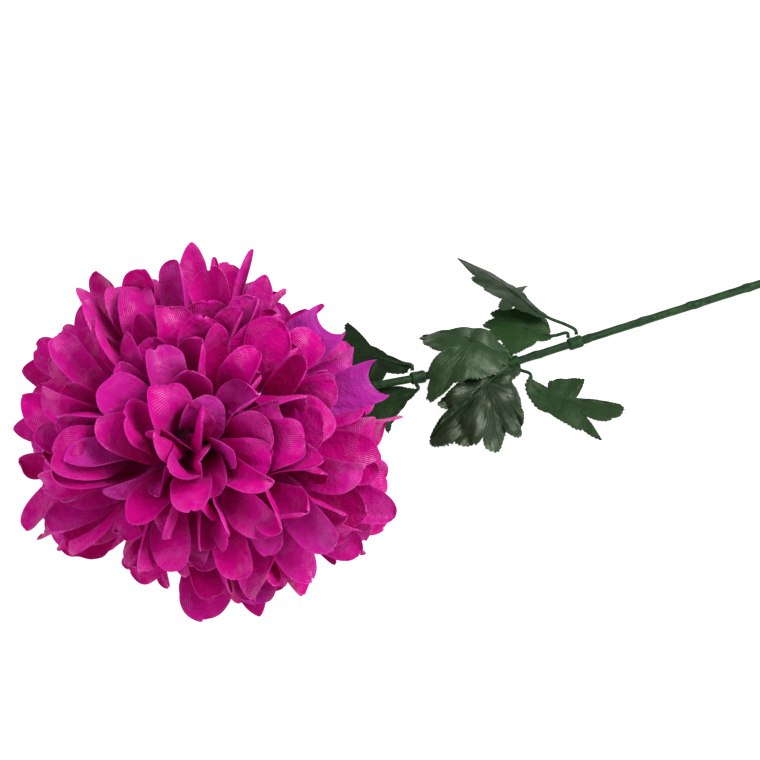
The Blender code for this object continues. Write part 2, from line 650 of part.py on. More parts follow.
def leaf_sheet(leaf, angles, rings, outline):
    """Points and triangles of a leaf's middle surface: rings round the point where its veins part."""
    curve, even, centre = midrib_curve(leaf)
    flat = [(0.0, 0.0)]
    for share in rings:
        for angle in angles:
            reach = outline(leaf, angle) * share
            flat.append((reach * math.cos(math.radians(angle)), reach * math.sin(math.radians(angle))))
    flat = np.array(flat)
    count = len(angles)
    triangles = [(0, 1 + j, 1 + (j + 1) % count) for j in range(count)]
    for ring in range(len(rings) - 1):
        low, high = 1 + ring * count, 1 + (ring + 1) * count
        for j in range(count):
            k = (j + 1) % count
            triangles += [(low + j, high + j, high + k), (low + j, high + k, low + k)]
    return bent_leaf(leaf, flat, curve, even, centre), np.array(triangles)


def bent_leaf(leaf, flat, curve, even, centre):
    """Lays flat points along the midrib, with the leaf's fold, curl, roll and wave."""
    place = centre + flat[:, 0]
    step = even[1] - even[0]
    tangents = np.gradient(curve, axis=0) / step

    def along(values):
        return np.stack([np.interp(place, even, values[:, i]) for i in range(3)], axis=1)

    beyond = (place - np.clip(place, even[0], even[-1]))[:, None]
    tangent = along(tangents)
    spine = along(curve) + tangent * beyond
    level = np.cross([0, 0, 1], tangent)
    level /= np.linalg.norm(level, axis=1, keepdims=True)
    upward = np.cross(tangent, level)
    upward /= np.linalg.norm(upward, axis=1, keepdims=True)
    roll = math.radians(leaf["roll"])
    side = math.cos(roll) * level + math.sin(roll) * upward
    face = math.cos(roll) * upward - math.sin(roll) * level
    off = np.abs(flat[:, 1])
    left = flat[:, 1] > 0
    fold = np.radians(np.where(left, leaf["fold"][0], leaf["fold"][1]))
    curl = np.radians(np.where(left, leaf["curl"][0], leaf["curl"][1])) * np.minimum(off / (20 * MM), 1.3)
    lift = off * np.sin(fold + curl / 2)
    reach = np.hypot(flat[:, 0], flat[:, 1])
    turn = np.arctan2(flat[:, 1], flat[:, 0])
    start_of_wave = sum(leaf["midrib"][0])
    lift += leaf["wave"] * MM * (reach / (20 * MM)) ** 2 * np.sin(5 * turn + start_of_wave)
    points = spine + side * (flat[:, 1] * np.cos(fold + curl / 2))[:, None] + face * lift[:, None]
    lowest = LEAF_THICKNESS / 2
    points[:, 2] = np.maximum(points[:, 2], lowest)
    return points


def make_leaf(name, leaf, fabric):
    """The blade and, fused to it, the stalk that runs on under it as the midrib."""
    points, triangles = leaf_sheet(leaf, leaf_edge_angles(leaf), LEAF_RINGS, edge_reach)
    points, faces = blade_solid(points, triangles, LEAF_THICKNESS / 2)
    blade = new_object(name, points, faces, fabric)
    curve, even, centre = midrib_curve(leaf)
    along = np.concatenate([[0, STALK_START], np.linspace(2.4 * STALK_START, centre + 10 * MM, 7)])
    path = np.stack([np.interp(along, even, curve[:, i]) for i in range(3)], axis=1)
    radii = STALK_RADIUS * np.interp(along, (0, centre, centre + 10 * MM), (1, 0.85, 0.45))
    points, faces = skin(tube(path, radii, 6))
    stalk = new_object(name + "_stalk", points, faces, fabric)
    stalks = bpy.data.collections.new(name)
    bpy.context.scene.collection.children.link(stalks)
    bpy.context.scene.collection.objects.unlink(stalk)
    stalks.objects.link(stalk)
    fuse(blade, stalks)
    return blade


def centre_on_origin():
    """Moves the whole flower so that the origin is under the middle of its box, on the table."""
    corners = []
    for thing in bpy.context.scene.objects:
        corners += [thing.matrix_world @ vertex.co for vertex in thing.data.vertices]
    corners = np.array(corners)
    low, high = corners.min(axis=0), corners.max(axis=0)
    shift = -np.array([(low[0] + high[0]) / 2, (low[1] + high[1]) / 2, low[2]])
    for thing in bpy.context.scene.objects:
        thing.location = np.array(thing.location) + shift


def main():
    for old in list(bpy.data.objects):
        bpy.data.objects.remove(old)
    magenta = plain_material("petal_fabric", (0.52, 0.005, 0.24), 0.6)
    green_fabric = plain_material("leaf_fabric", (0.025, 0.055, 0.022), 0.5)
    green_plastic = plain_material("stem_plastic", (0.03, 0.085, 0.028), 0.45)
    steel = plain_material("wire_steel", (0.55, 0.55, 0.55), 0.35, metallic=1.0)

    make_bloom(magenta)
    make_calyx(green_plastic)
    make_stem(green_plastic, steel)
    for name in SLEEVES:
        make_sleeve(name, green_plastic)
    for name, leaf in LEAVES.items():
        make_leaf(name, leaf, green_fabric)
    bpy.context.view_layer.update()
    centre_on_origin()


if __name__ == "__main__":
    main()
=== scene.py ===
"""Looks of an artificial chrysanthemum that lies on a table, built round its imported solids.

The pieces are the shapes of the solids, made by the same rules with finer meshes.
Units are metres. The flower is laid out from the spot on the table under its bloom, as its source is, and
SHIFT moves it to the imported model's frame.
"""

import random
from math import acos, cos, pi, radians, sin, sqrt

import bmesh
import bpy
import numpy as np
from mathutils import Matrix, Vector
from mathutils.bvhtree import BVHTree


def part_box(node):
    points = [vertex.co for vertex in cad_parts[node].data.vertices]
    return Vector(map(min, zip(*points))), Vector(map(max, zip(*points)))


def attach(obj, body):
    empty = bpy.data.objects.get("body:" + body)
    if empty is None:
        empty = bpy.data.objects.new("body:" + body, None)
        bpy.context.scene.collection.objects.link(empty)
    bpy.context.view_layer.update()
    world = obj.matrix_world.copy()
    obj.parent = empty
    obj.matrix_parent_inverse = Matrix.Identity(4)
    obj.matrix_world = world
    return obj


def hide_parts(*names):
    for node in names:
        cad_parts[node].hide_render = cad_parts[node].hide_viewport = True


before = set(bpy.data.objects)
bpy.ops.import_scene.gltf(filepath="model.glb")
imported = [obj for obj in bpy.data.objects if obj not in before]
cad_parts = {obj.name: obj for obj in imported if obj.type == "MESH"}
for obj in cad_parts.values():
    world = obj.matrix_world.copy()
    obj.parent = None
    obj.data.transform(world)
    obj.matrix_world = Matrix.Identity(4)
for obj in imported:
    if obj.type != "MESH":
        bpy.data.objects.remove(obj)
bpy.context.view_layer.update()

MM = 0.001
X, Y, Z = np.eye(3)

# Bloom: petals of one cut, stood round a small core in the order of a real flower head.
BLOOM_HEIGHT = 66.5 * MM  # centre of the bloom above the table
BLOOM_POLE = (-0.24, -0.58, 0.78)  # the way the open face looks
CORE_RADIUS = 28 * MM
PETAL_COUNT = 226
PETAL_LENGTH = 56 * MM
PETAL_WIDTH = 20.5 * MM
PETAL_THICKNESS = 1.2 * MM  # of the solids
PETAL_ROOT_RADIUS = 25 * MM
FIRST_POLAR = 3  # degrees from the pole to the innermost petals
LAST_POLAR = 146  # and to the outermost, beside the calyx
CROWDING = 1.25  # above 1, petals stand closer near the pole
INNER_FADE = (8, 42)  # polar degrees where the short inner petals end
BACK_FADE = (95, 140)  # and where the short ones at the back begin
GOLDEN_ANGLE = pi * (3 - sqrt(5))
INCURVED_SHARE = 0.24  # petals that hook towards the pole and show their backs
EDGE_ON_SHARE = 0.12  # petals twisted until they stand edge on
# Petals are longer or shorter on some sides: azimuth in degrees, and share of the length.
SIDES = ((48, -0.24), (105, -0.05), (152, 0.05), (184, 0.08), (257, -0.28), (345, 0.1))
BLOOM_SEED = 16
PETAL_TRIES = 10  # draws for a petal, which takes the one that crosses the fewest others
TABLE_SOFTNESS = 2 * MM  # height where petals bend away from the table
TABLE_CLEARANCE = 0.2 * MM  # of a pressed petal's middle
# Where petals are tested for crossings, as shares of the length and of the half width.
PETAL_STATIONS = np.array([[0.12, 0.38, 0.7, 0.9, 0.995]]).T
PETAL_COLUMNS = np.array([[-1.0, 0, 1]])

# Petals that stray from the rule: polar angle and azimuth in degrees, length and width in millimetres,
# and lean to one side in degrees.
CREASED, TORN, ROLLED, LONG = "creased", "torn", "rolled", "long"
STRAY_PETALS = (
    (TORN, 87, 45, 52, 22, 0), (CREASED, 84, 21, 59, 19, 0), (LONG, 92, 96, 60, 13, 0),
    (ROLLED, 92, 86, 54, 8, 0), (ROLLED, 93, 78, 60, 6, 0), (LONG, 92, 69, 51, 12, 0),
    (ROLLED, 94, 63, 48, 5.5, -24), (ROLLED, 93, 57, 54, 6, -22), (LONG, 82, -20, 66, 17, 0),
    (LONG, 80, -33, 61, 18, 0), (ROLLED, 84, -41, 55, 7, 0), (LONG, 76, -69, 57, 14, 0),
    (LONG, 74, -87, 54.5, 23, 0), (LONG, 88, 177, 58, 14, 0),
)

# The cloth of the petals.
CLOTH_THICKNESS = 0.3 * MM
CLOTH_ROWS = 28
ALONG = 0.05 + 0.9495 * np.sin(np.linspace(0, pi / 2, CLOTH_ROWS))[:, None] ** 0.9
ACROSS = np.array([[-1, -0.96, -0.82, -0.62, -0.42, -0.21, 0, 0.21, 0.42, 0.62, 0.82, 0.96, 1]])
CLOTH_SHAPE = (ALONG.size, ACROSS.size)
FULLNESS = 1.06  # thin cloth hides less than the solids, so it is cut wider
TORN_DEPTH = 0.1  # of the cut in a torn petal's end, as a share of its length
EDGE_BAND = 0.7 * MM  # the frayed strip along a cut edge
EDGE_WAVES = ((0.035, 9), (0.02, 22), (0.012, 55))  # share of the half width, and radians a petal
WRINKLES = ((0.8, 7), (0.5, 12), (0.2, 24))  # height in millimetres, and radians a petal
CLOTH_SEED = 700

# Calyx.
GAP = 0.35 * MM
CALYX_RIM_ANGLE = 25
CALYX_WALL = 1.6 * MM
CALYX_END = 46 * MM
CALYX_NECK_RADIUS = 4.2 * MM
CALYX_WAIST = (10.5 * MM, 35.5 * MM)
CALYX_NECK = (5.8 * MM, 40.5 * MM)
CALYX_RIBS = 8
CALYX_RIB_SWELL = 0.06
CALYX_SIDES = 64
SOCKET_DEPTH = 11 * MM

# Stem.
STEM_RADIUS = 1.9 * MM
STEM_END_RADIUS = 2.2 * MM
STEM_BORE_RADIUS = 1.1 * MM
WIRE_RADIUS = 0.75 * MM
WIRE_SHOWS = 3 * MM
WIRE_BEVEL = 0.12 * MM
WIRE_SIDES = 16
NECK_PULL = np.array((35, -0.8, -6.2)) * MM
MIDDLE_PULL = np.array((18, 0, -0.2)) * MM
STEM_END_X = 468 * MM
STEM_SIDES = 20
STEM_CLEARANCE = 0.02 * MM  # of the coat above the table
KNOT_SPACING = (19 * MM, 30 * MM)
KNOT_MARGIN = 14 * MM  # of plain stem at the sleeve and the cut end
KNOT_SWELL = 0.16
KNOT_SLANT = 1.6 * MM
KNOT_STEEP = 0.9 * MM  # how quickly a knot falls off on one side
KNOT_GENTLE = 3 * MM  # and on the other
COAT_WAVES = ((0.02, 1), (0.015, 2), (0.01, 3))  # share of the radius, and waves round the stem
STEM_SEED = 5

# Sleeves.
SLEEVE_LENGTH = 7 * MM
SLEEVE_BORE = 2.4 * MM
SLEEVE_RADIUS = 3.4 * MM
SLEEVE_SIDES = 36
SLEEVE_STATIONS = np.array((-1, -0.94, -0.82, -0.6, -0.3, 0, 0.3, 0.6, 0.82, 0.94, 1))
SLEEVE_INSETS = np.array((0.85, 0.6, 0.42, 0.35, 0.42, 0.5, 0.42, 0.35, 0.42, 0.6, 0.85)) * MM
SLEEVES = {
    "sleeve_neck": np.array((110.2, 24.8, 12)) * MM,
    "sleeve_middle": np.array((157.2, 21.3, 3.6)) * MM,
    "sleeve_lower": np.array((190.2, 21.3, 3.45)) * MM,
}

# Leaves.
LEAF_CLOTH_THICKNESS = 0.35 * MM
STALK_RADIUS = 0.85 * MM
STALK_START = 2.5 * MM
STALK_UNDER_BLADE = 12 * MM  # past the blade's centre
STALK_SIDES = 12
EDGE_BULGE = 0.06  # of the edge between two corners, as a share of its reach
LEAF_EDGE_POINTS = 640
LEAF_SHARES = np.array((0.12, 0.25, 0.38, 0.5, 0.62, 0.73, 0.83, 0.91, 0.97, 1.0))
LEAF_SPAN = 20 * MM  # where a leaf's whole curl and wave are reached
TOOTH_PITCH = 1.9 * MM
TOOTH_DEPTH = 0.75 * MM
LOBE_REACH = 14  # a lobe's tip is farther from the centre, in millimetres
LOBE_ANGLE = 145  # and closer to the midrib, in degrees
VEIN_HALF_WIDTH = 0.5 * MM
VEIN_HEIGHT = 0.11 * MM
SIDE_VEIN_PITCH = 5.5 * MM
SIDE_VEIN_SLOPE = 1.2
SIDE_VEIN_STRENGTH = 0.3
DENTS = ((0.9, 20), (0.4, 12), (0.08, 6))  # height and pitch in millimetres
# A seat is a sleeve, a place along it and an angle round it. Corners are angles from the midrib and
# millimetres from the centre, a knot of the midrib. Tone is 0 for the darkest green, and gloss for matt.
LEAF_DEFAULTS = dict(centre=1, roll=0, tone=0.25, gloss=0.2, crumple=1)
LEAVES = {
    "leaf_neck_left": dict(
        seat=("sleeve_neck", -2, 22),
        midrib=((104.5, 33.5, 14), (96, 41.4, 12.5), (84, 51, 9.5), (71, 59, 6)),
        corners=((-176, 18), (-150, 5), (-90, 4), (-45, 7.5), (-40, 25), (-30, 22), (-24, 21),
                 (-15, 32.5), (-2, 27), (8, 31), (22, 25), (42, 25), (60, 16), (85, 19), (112, 15),
                 (140, 9.5), (167, 17)),
        fold=(-8, 16), curl=(-20, -20), wave=0.8, tone=0.1,
    ),
    "leaf_neck_right": dict(
        seat=("sleeve_neck", -2, 178),
        midrib=((103.5, 18.5, 10.5), (92.5, 18.5, 8), (81, 14.5, 6.5), (69, 10.5, 4.5)),
        corners=((-175, 15), (-120, 9), (-88, 14), (-66, 12), (-45, 22), (-25, 16), (-5, 25),
                 (22, 15), (43, 12.5), (51, 15.5), (60, 11), (90, 8), (129, 8), (160, 10), (176, 15)),
        fold=(4, 0), curl=(-20, -15), wave=0.8, tone=0.4,
    ),
    "leaf_middle_left": dict(
        seat=("sleeve_middle", -2.2, 72),
        midrib=((149.2, 25.8, 12.5), (142.2, 31.8, 16), (131.2, 40.8, 15.5), (121.2, 48.2, 10)),
        corners=((-174, 19), (-150, 12), (-120, 9.5), (-63, 7), (-8, 14.5), (3, 28.5), (12, 26),
                 (27, 22.5), (43, 18), (50, 27.5), (57, 30), (63, 35), (70, 38), (77, 35), (84, 25),
                 (101, 21), (125, 18), (150, 16), (170, 18.5)),
        fold=(21, 6), curl=(-38, -10), wave=0.6, tone=0.6, gloss=0.7, crumple=1.8,
    ),
    "leaf_middle_right": dict(
        seat=("sleeve_middle", -2.2, 148),
        midrib=((150.2, 15.3, 9), (139.2, 11.3, 10), (123.2, 1.8, 8.5), (106.2, -5.2, 4)),
        corners=((-177, 17.5), (-122, 9.5), (-76, 9), (-42, 15), (-26, 26), (-15, 22.5), (-10, 31),
                 (-1, 40), (14, 32), (32, 30), (38, 26), (45, 32), (56, 29), (63, 24), (70, 31),
                 (84, 26), (106, 25), (131, 18.5), (155, 14.5), (174, 20)),
        fold=(-2, 8), curl=(-35, -30), wave=1.2, tone=0.2, gloss=1.0, crumple=2.6,
    ),
    "leaf_middle_back": dict(
        seat=("sleeve_middle", 2, 165),
        midrib=((162.2, 10.8, 7), (161.2, 5.3, 6.5), (165.2, -2.2, 5.5),
                (173.2, -7.2, 5.5), (185.2, -13.2, 5), (197.2, -18.7, 3)),
        centre=3,
        corners=((-175, 21), (-153, 15), (-125, 11), (-80, 14), (-60, 18), (-47, 27), (-40, 13),
                 (-33, 19), (-20, 24), (-4, 28), (4, 26.5), (9, 12), (16, 5), (40, 9), (56, 15),
                 (96, 11), (150, 16), (160, 12), (169, 17), (180, 21)),
        fold=(8, 8), curl=(-20, -20), wave=0.7, tone=0.5,
    ),
    "leaf_lower_left": dict(
        seat=("sleeve_lower", 1.5, 42),
        midrib=((187.7, 29.8, 9), (181.2, 34.3, 11.5), (175.2, 41.8, 13),
                (170.7, 52.8, 12.5), (163.2, 69.8, 8.5), (154.2, 85.8, 5.5)),
        centre=3,
        corners=((-172, 20), (-140, 7), (-95, 6), (-75, 15), (-58, 6), (-12, 20), (3, 37), (22, 22),
                 (34, 21.5), (46, 15.5), (69, 14), (90, 12.5), (98, 11), (107, 19), (118, 17),
                 (130, 12), (157, 14), (171, 20)),
        fold=(6, -15), curl=(6, 0), roll=20, wave=0.5,
    ),
    "leaf_lower_right": dict(
        seat=("sleeve_lower", -2.2, 8),
        midrib=((179.2, 27.8, 6), (169.2, 34.8, 7), (159.2, 41.8, 6), (149.2, 48.3, 3.5)),
        corners=((-175, 13), (-157, 14), (-119, 11.5), (-79, 10.5), (-48, 13.5), (-20, 19.5),
                 (-13, 16.5), (3, 21), (14, 17), (35, 18), (48, 14), (83, 18), (110, 12.5),
                 (144, 9), (168, 13)),
        fold=(17, 5), curl=(-16, -12), wave=0.6, tone=0.95,
    ),
}

# Camera.
FRAME_PIXELS = 760  # on each side of the photograph
LENS = 100  # in millimetres
SENSOR_WIDTH = 36
CAMERA_ELEVATION = 60
CAMERA_AZIMUTH = -20.22
HEAD_PIXEL = (204, 436.5)  # where the bloom's centre shows
HEAD_SCALE = 2290  # pixels for a metre there

# Light. A lamp has steps along the camera's right, up and back, a size in metres and a power in watts.
LAMPS = (("key", (0.7, 0.55, 0.75), 0.6, 14.6), ("fill", (-0.8, -0.1, 0.9), 1.2, 6))
LAMP_DISTANCE = 1.2
WORLD_LIGHT = 0.42
FLOOR_GLOW = 0.92
FLOOR_REACH = 4


def unit(vector):
    return np.asarray(vector, float) / np.linalg.norm(vector)


def units(rows):
    return rows / np.linalg.norm(rows, axis=1, keepdims=True)


def ramp(low, high, x):
    t = np.clip((x - low) / (high - low), 0, 1)
    return t * t * (3 - 2 * t)


def turned(first, second, angle):
    """Two directions square to each other, turned from the first towards the second."""
    return np.cos(angle) * first + np.sin(angle) * second, np.cos(angle) * second - np.sin(angle) * first


def even_turn(sides):
    """Angles at even steps round a full turn."""
    return np.arange(sides) * 2 * pi / sides


def distances(line):
    """How far along a line each of its points is."""
    return np.concatenate([[0], np.cumsum(np.linalg.norm(np.diff(line, axis=0), axis=1))])


def read_off(at, places, rows):
    """Rows of values that stand at some places, read off at others."""
    return np.stack([np.interp(at, places, column) for column in rows.T], axis=-1)


class Draw(random.Random):
    def angle(self, low, high):
        return radians(self.uniform(low, high))

    def phase(self):
        return self.uniform(0, 6.3)


BLOOM_CENTRE = np.array([0, 0, BLOOM_HEIGHT])
POLE = unit(BLOOM_POLE)
SIDE = unit(np.cross(Z, POLE))
BLOOM_AXES = np.array([SIDE, np.cross(POLE, SIDE), POLE])
SHIFT = np.mean(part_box("sleeve_lower"), axis=0) - SLEEVES["sleeve_lower"]


# Materials

class Look:
    """A Principled material, with short ways to add the nodes that feed it."""

    def __init__(self, name, **constants):
        self.material = bpy.data.materials.new(name)
        self.material.use_nodes = True
        self.tree = self.material.node_tree
        self.principled = self.tree.nodes["Principled BSDF"]
        for socket, value in constants.items():
            self.principled.inputs[socket.replace("_", " ")].default_value = value

    def finished(self, **sources):
        """The material, once nodes are linked to the shader's named sockets."""
        for socket, source in sources.items():
            self.tree.links.new(source, self.principled.inputs[socket.replace("_", " ")])
        return self.material

    def node(self, kind, inputs, output=0, **settings):
        """Adds a node, and gives its output. An input is another node's output or a value."""
        made = self.tree.nodes.new("ShaderNode" + kind)
        for setting, value in settings.items():
            setattr(made, setting, value)
        for key, source in inputs.items():
            if isinstance(source, bpy.types.NodeSocket):
                self.tree.links.new(source, made.inputs[key])
            else:
                made.inputs[key].default_value = source
        return made.outputs[output]

    def attribute(self, name, output="Fac"):
        return self.node("Attribute", {}, output, attribute_name=name)

    def maths(self, operation, first, second=0.0):
        return self.node("Math", {0: first, 1: second}, operation=operation)

    def times(self, first, second):
        return self.maths("MULTIPLY", first, second)

    def weighed(self, first, share, second, other_share):
        """The sum of two values, each times its own share."""
        return self.maths("ADD", self.times(first, share), self.times(second, other_share))

    def vectors(self, operation, first, second):
        return self.node("VectorMath", {0: first, 1: second}, operation=operation)

    def place(self, stretch=(1, 1, 1)):
        """The point's place on its own mesh, times a stretch along each axis."""
        return self.vectors("MULTIPLY", self.node("TexCoord", {}, "Object"), stretch)

    def noise(self, place, scale, detail=3.0, roughness=0.55):
        inputs = {"Vector": place, "Scale": scale, "Detail": detail, "Roughness": roughness}
        return self.node("TexNoise", inputs, "Fac")

    def spread(self, value, low, high, to_low=0, to_high=1):
        """A value's range from low to high, stretched to another range and clipped there."""
        inputs = {"Value": value, "From Min": low, "From Max": high, "To Min": to_low, "To Max": to_high}
        return self.node("MapRange", inputs, "Result")

    def blend(self, share, first, second, mode="MIX"):
        first, second = [(*c, 1) if isinstance(c, tuple) else c for c in (first, second)]
        inputs = {0: share, 6: first, 7: second}
        return self.node("Mix", inputs, 2, data_type="RGBA", blend_type=mode)

    def shaded(self, colour, shade):
        """A colour times a value."""
        grey = self.node("CombineColor", {0: shade, 1: shade, 2: shade})
        return self.blend(1.0, colour, grey, "MULTIPLY")

    def bump(self, height, distance, normal=None):
        inputs = {"Height": height, "Distance": distance, "Strength": 1.0}
        if normal:
            inputs["Normal"] = normal
        return self.node("Bump", inputs)

    def threads(self, place, across, along):
        """Height of a plain weave, about 0 to 1. The place is in millimetres, and so are the pitches."""
        drift = self.node("TexNoise", {"Vector": place, "Scale": 0.5, "Detail": 2.0}, "Color")
        moved = self.vectors("ADD", place, self.vectors("MULTIPLY", drift, (0.25, 0.25, 0.25)))
        waves = []
        for axis, pitch in (("X", across), ("Y", along)):
            part = self.node("SeparateXYZ", {0: moved}, axis)
            waves.append(self.maths("SINE", self.times(part, 2 * pi / pitch)))
        return self.maths("ADD", self.weighed(waves[0], 0.32, waves[1], 0.18), 0.5)


def petal_cloth():
    """Dyed woven polyester: ribbed, with cloudy dye, paler cut edges that are part fraying and part painted
    highlight, painted shade between the threads and a violet sheen on its threads, partly painted into the
    colour and more of it towards the tips.
    """
    look = Look(
        "petal_cloth", Sheen_Roughness=0.4, Sheen_Tint=(0.9, 0.5, 1, 1), Specular_Tint=(1, 0.6, 1, 1),
        Coat_Roughness=0.42, Subsurface_Weight=0.1, Subsurface_Scale=0.002, Subsurface_Radius=(1, 0.15, 0.5),
    )
    deep, bright, tip_sheen_colour = (0.44, 0.0002, 0.13), (0.57, 0.0008, 0.23), (0.62, 0.012, 0.34)
    lilac, frayed, sheen = (0.4, 0.03, 0.37), (0.68, 0.06, 0.47), (0.62, 0.15, 0.54)
    place = look.attribute("cloth", "Vector")
    pale = look.attribute("pale")
    clouds = look.noise(place, 0.16)
    patches = look.weighed(look.attribute("tone"), 0.55, clouds, 0.6)
    dyed = look.blend(look.spread(patches, 0.15, 1.0), deep, bright)
    # Painted sheen: the colour turns paler and more violet towards each petal's tip.
    dyed = look.blend(look.times(pale, 0.3), dyed, tip_sheen_colour)
    dyed = look.blend(look.times(look.attribute("lilac"), 0.75), dyed, lilac)
    # Paler cut edges: partly fraying, partly a painted rim highlight.
    fraying = look.spread(look.noise(place, 1.6), 0.35, 0.65, 0.05, 0.6)
    dyed = look.blend(look.times(look.attribute("edge"), fraying), dyed, frayed)
    weave = look.threads(place, 0.8, 0.58)
    # Patches where the painted sheen shows on the thread crests, more of them towards the tip.
    threshold = look.weighed(look.noise(place, 0.11, 3.0, 0.6), 1, pale, 0.1)
    sheen_patches = look.spread(threshold, 0.5, 0.68)
    crests = look.times(look.spread(weave, 0.45, 0.95), sheen_patches)
    # Painted sheen: thread crests in these patches take a pale violet colour.
    dyed = look.blend(look.times(crests, 0.28), dyed, sheen)
    fine = look.bump(weave, 0.035 * MM)
    slubs = look.bump(look.noise(place, 0.7), 0.06 * MM, fine)
    return look.finished(
        # Painted shade: the colour is darker between the threads.
        Base_Color=look.shaded(dyed, look.spread(weave, 0, 0.6, 0.94, 1)),
        Sheen_Weight=look.spread(crests, 0, 1, 0, 0.3),
        Specular_IOR_Level=look.spread(crests, 0, 1, 0.03, 1.0),
        Coat_Weight=look.spread(crests, 0, 1, 0, 0.55),
        Roughness=look.spread(clouds, 0.3, 0.7, 0.36, 0.5),
        Normal=look.bump(look.noise(place, 0.22, 3.0, 0.6), 1.3 * MM, slubs),
    )


def painted_shade_core_cloth():
    """The core between the petals' roots, its cloth painted near black as the shade that falls there."""
    look = Look("painted_shade_core_cloth", Roughness=0.8)
    clouds = look.noise(look.place(), 120.0)
    return look.finished(
        Base_Color=look.blend(clouds, (0.05, 0.0005, 0.016), (0.12, 0.002, 0.04)),
        Normal=look.bump(clouds, 1 * MM),
    )


def leaf_cloth():
    """Waxed green polyester: pressed veins, fine threads, patchy gloss."""
    look = Look("leaf_cloth", Specular_Tint=(0.88, 1, 0.76, 1))
    deep, bright = (0.006, 0.015, 0.005), (0.02, 0.06, 0.015)
    veined, frayed = (0.025, 0.055, 0.022), (0.035, 0.06, 0.03)
    place = look.attribute("cloth", "Vector")
    gloss = look.attribute("gloss")
    patches = look.weighed(look.attribute("tone"), 0.8, look.noise(place, 0.14, 4.0), 0.45)
    dyed = look.blend(look.spread(patches, 0.2, 1.1), deep, bright)
    dyed = look.blend(look.times(look.attribute("vein"), 0.25), dyed, veined)
    dyed = look.blend(look.times(look.attribute("edge"), 0.25), dyed, frayed)
    weave = look.threads(place, 0.62, 0.5)
    rough = look.noise(place, 0.3, 4.0)
    return look.finished(
        # Painted shade and highlight: the colour is darker between the threads and lighter on them.
        Base_Color=look.shaded(dyed, look.spread(weave, 0, 1, 0.86, 1.08)),
        Specular_IOR_Level=look.spread(gloss, 0, 1, 0.14, 0.42),
        Coat_Weight=look.times(gloss, 0.16),
        Coat_Roughness=look.spread(rough, 0.35, 0.65, 0.3, 0.48),
        Roughness=look.spread(rough, 0.3, 0.7, 0.36, 0.52),
        Normal=look.bump(rough, 0.45 * MM, look.bump(weave, 0.04 * MM)),
    )


def stem_plastic():
    """Moulded green plastic with flow streaks and a slightly worn, satin skin."""
    look = Look("stem_plastic_fine", Specular_IOR_Level=0.18)
    deep, bright, scuffed = (0.0035, 0.017, 0.006), (0.019, 0.064, 0.018), (0.03, 0.12, 0.03)
    place = look.place()
    streaks = look.noise(look.place((90, 600, 600)), 1.0)
    specks = look.noise(place, 520.0, 4.0)
    mixed = look.weighed(streaks, 0.7, specks, 0.5)
    green = look.blend(look.spread(mixed, 0.46, 0.74), deep, bright)
    scuffs = look.spread(look.noise(place, 420.0, 5.0), 0.58, 0.7, 0, 0.6)
    return look.finished(
        Base_Color=look.blend(scuffs, green, scuffed),
        Roughness=look.spread(specks, 0.3, 0.7, 0.5, 0.7),
        Normal=look.bump(mixed, 0.25 * MM),
    )


def wire_steel():
    """Drawn steel wire, with marks along it."""
    look = Look("wire_steel_fine", Metallic=1.0)
    lines = look.noise(look.place((200, 4000, 4000)), 1.0)
    return look.finished(
        Base_Color=look.blend(lines, (0.38, 0.37, 0.36), (0.66, 0.65, 0.63)),
        Roughness=look.spread(lines, 0.2, 0.8, 0.28, 0.5),
        Normal=look.bump(lines, 0.02 * MM),
    )


def floor_paper():
    look = Look("floor_paper", Roughness=0.9, Emission_Color=(1, 1, 1, 1), Emission_Strength=FLOOR_GLOW)
    grain = look.noise(look.place(), 60.0)
    return look.finished(Base_Color=look.blend(grain, (0.42, 0.42, 0.42), (0.46, 0.46, 0.46)))


# Meshes

def add_object(name, data, place=(0, 0, 0), axes=(X, Y, Z)):
    made = bpy.data.objects.new(name, data)
    made.matrix_world = Matrix.Translation(place) @ Matrix(axes).transposed().to_4x4()
    bpy.context.scene.collection.objects.link(made)
    return made


def new_piece(name, shape, material, replaced):
    """A smooth-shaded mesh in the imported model's frame, riding on the flower in place of a node.

    Its shape is points, faces and, for cloth, the values that its material reads at each point.
    """
    points, faces, attributes = shape
    mesh = bpy.data.meshes.new(name)
    mesh.from_pydata((points + SHIFT).tolist(), [], [[int(i) for i in face] for face in faces])
    for key, values in attributes.items():
        values = np.asarray(values, np.float32)
        kind, field = ("FLOAT_VECTOR", "vector") if values.ndim == 2 else ("FLOAT", "value")
        mesh.attributes.new(key, kind, "POINT").data.foreach_set(field, values.ravel())
    mesh.polygons.foreach_set("use_smooth", [True] * len(mesh.polygons))
    mesh.set_sharp_from_angle(angle=radians(50))
    mesh.materials.append(material)
    made = add_object(name, mesh)
    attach(made, "root")
    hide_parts(replaced)


def grid_triangles(rows, columns):
    """Triangles over a grid of points, split in mirror image on either side of the middle column."""
    cell = np.arange(rows * columns).reshape(rows, columns)
    found = []
    for i in range(rows - 1):
        for j in range(columns - 1):
            a, b, c, d = cell[i, j], cell[i, j + 1], cell[i + 1, j + 1], cell[i + 1, j]
            found += [(a, b, c), (a, c, d)] if j >= columns // 2 else [(a, b, d), (b, c, d)]
    return np.array(found)


def tube(path, radii, sides, up=Z):
    """Rings of points round a path, each square to it. Radii are for each ring, or for each point."""
    along = units(np.gradient(path, axis=0))
    across = units(np.cross(along, up))
    third = np.cross(across, along)
    ring, _ = turned(across[:, None], third[:, None], even_turn(sides)[None, :, None])
    return path[:, None] + ring * np.asarray(radii, float).reshape(len(path), -1, 1)


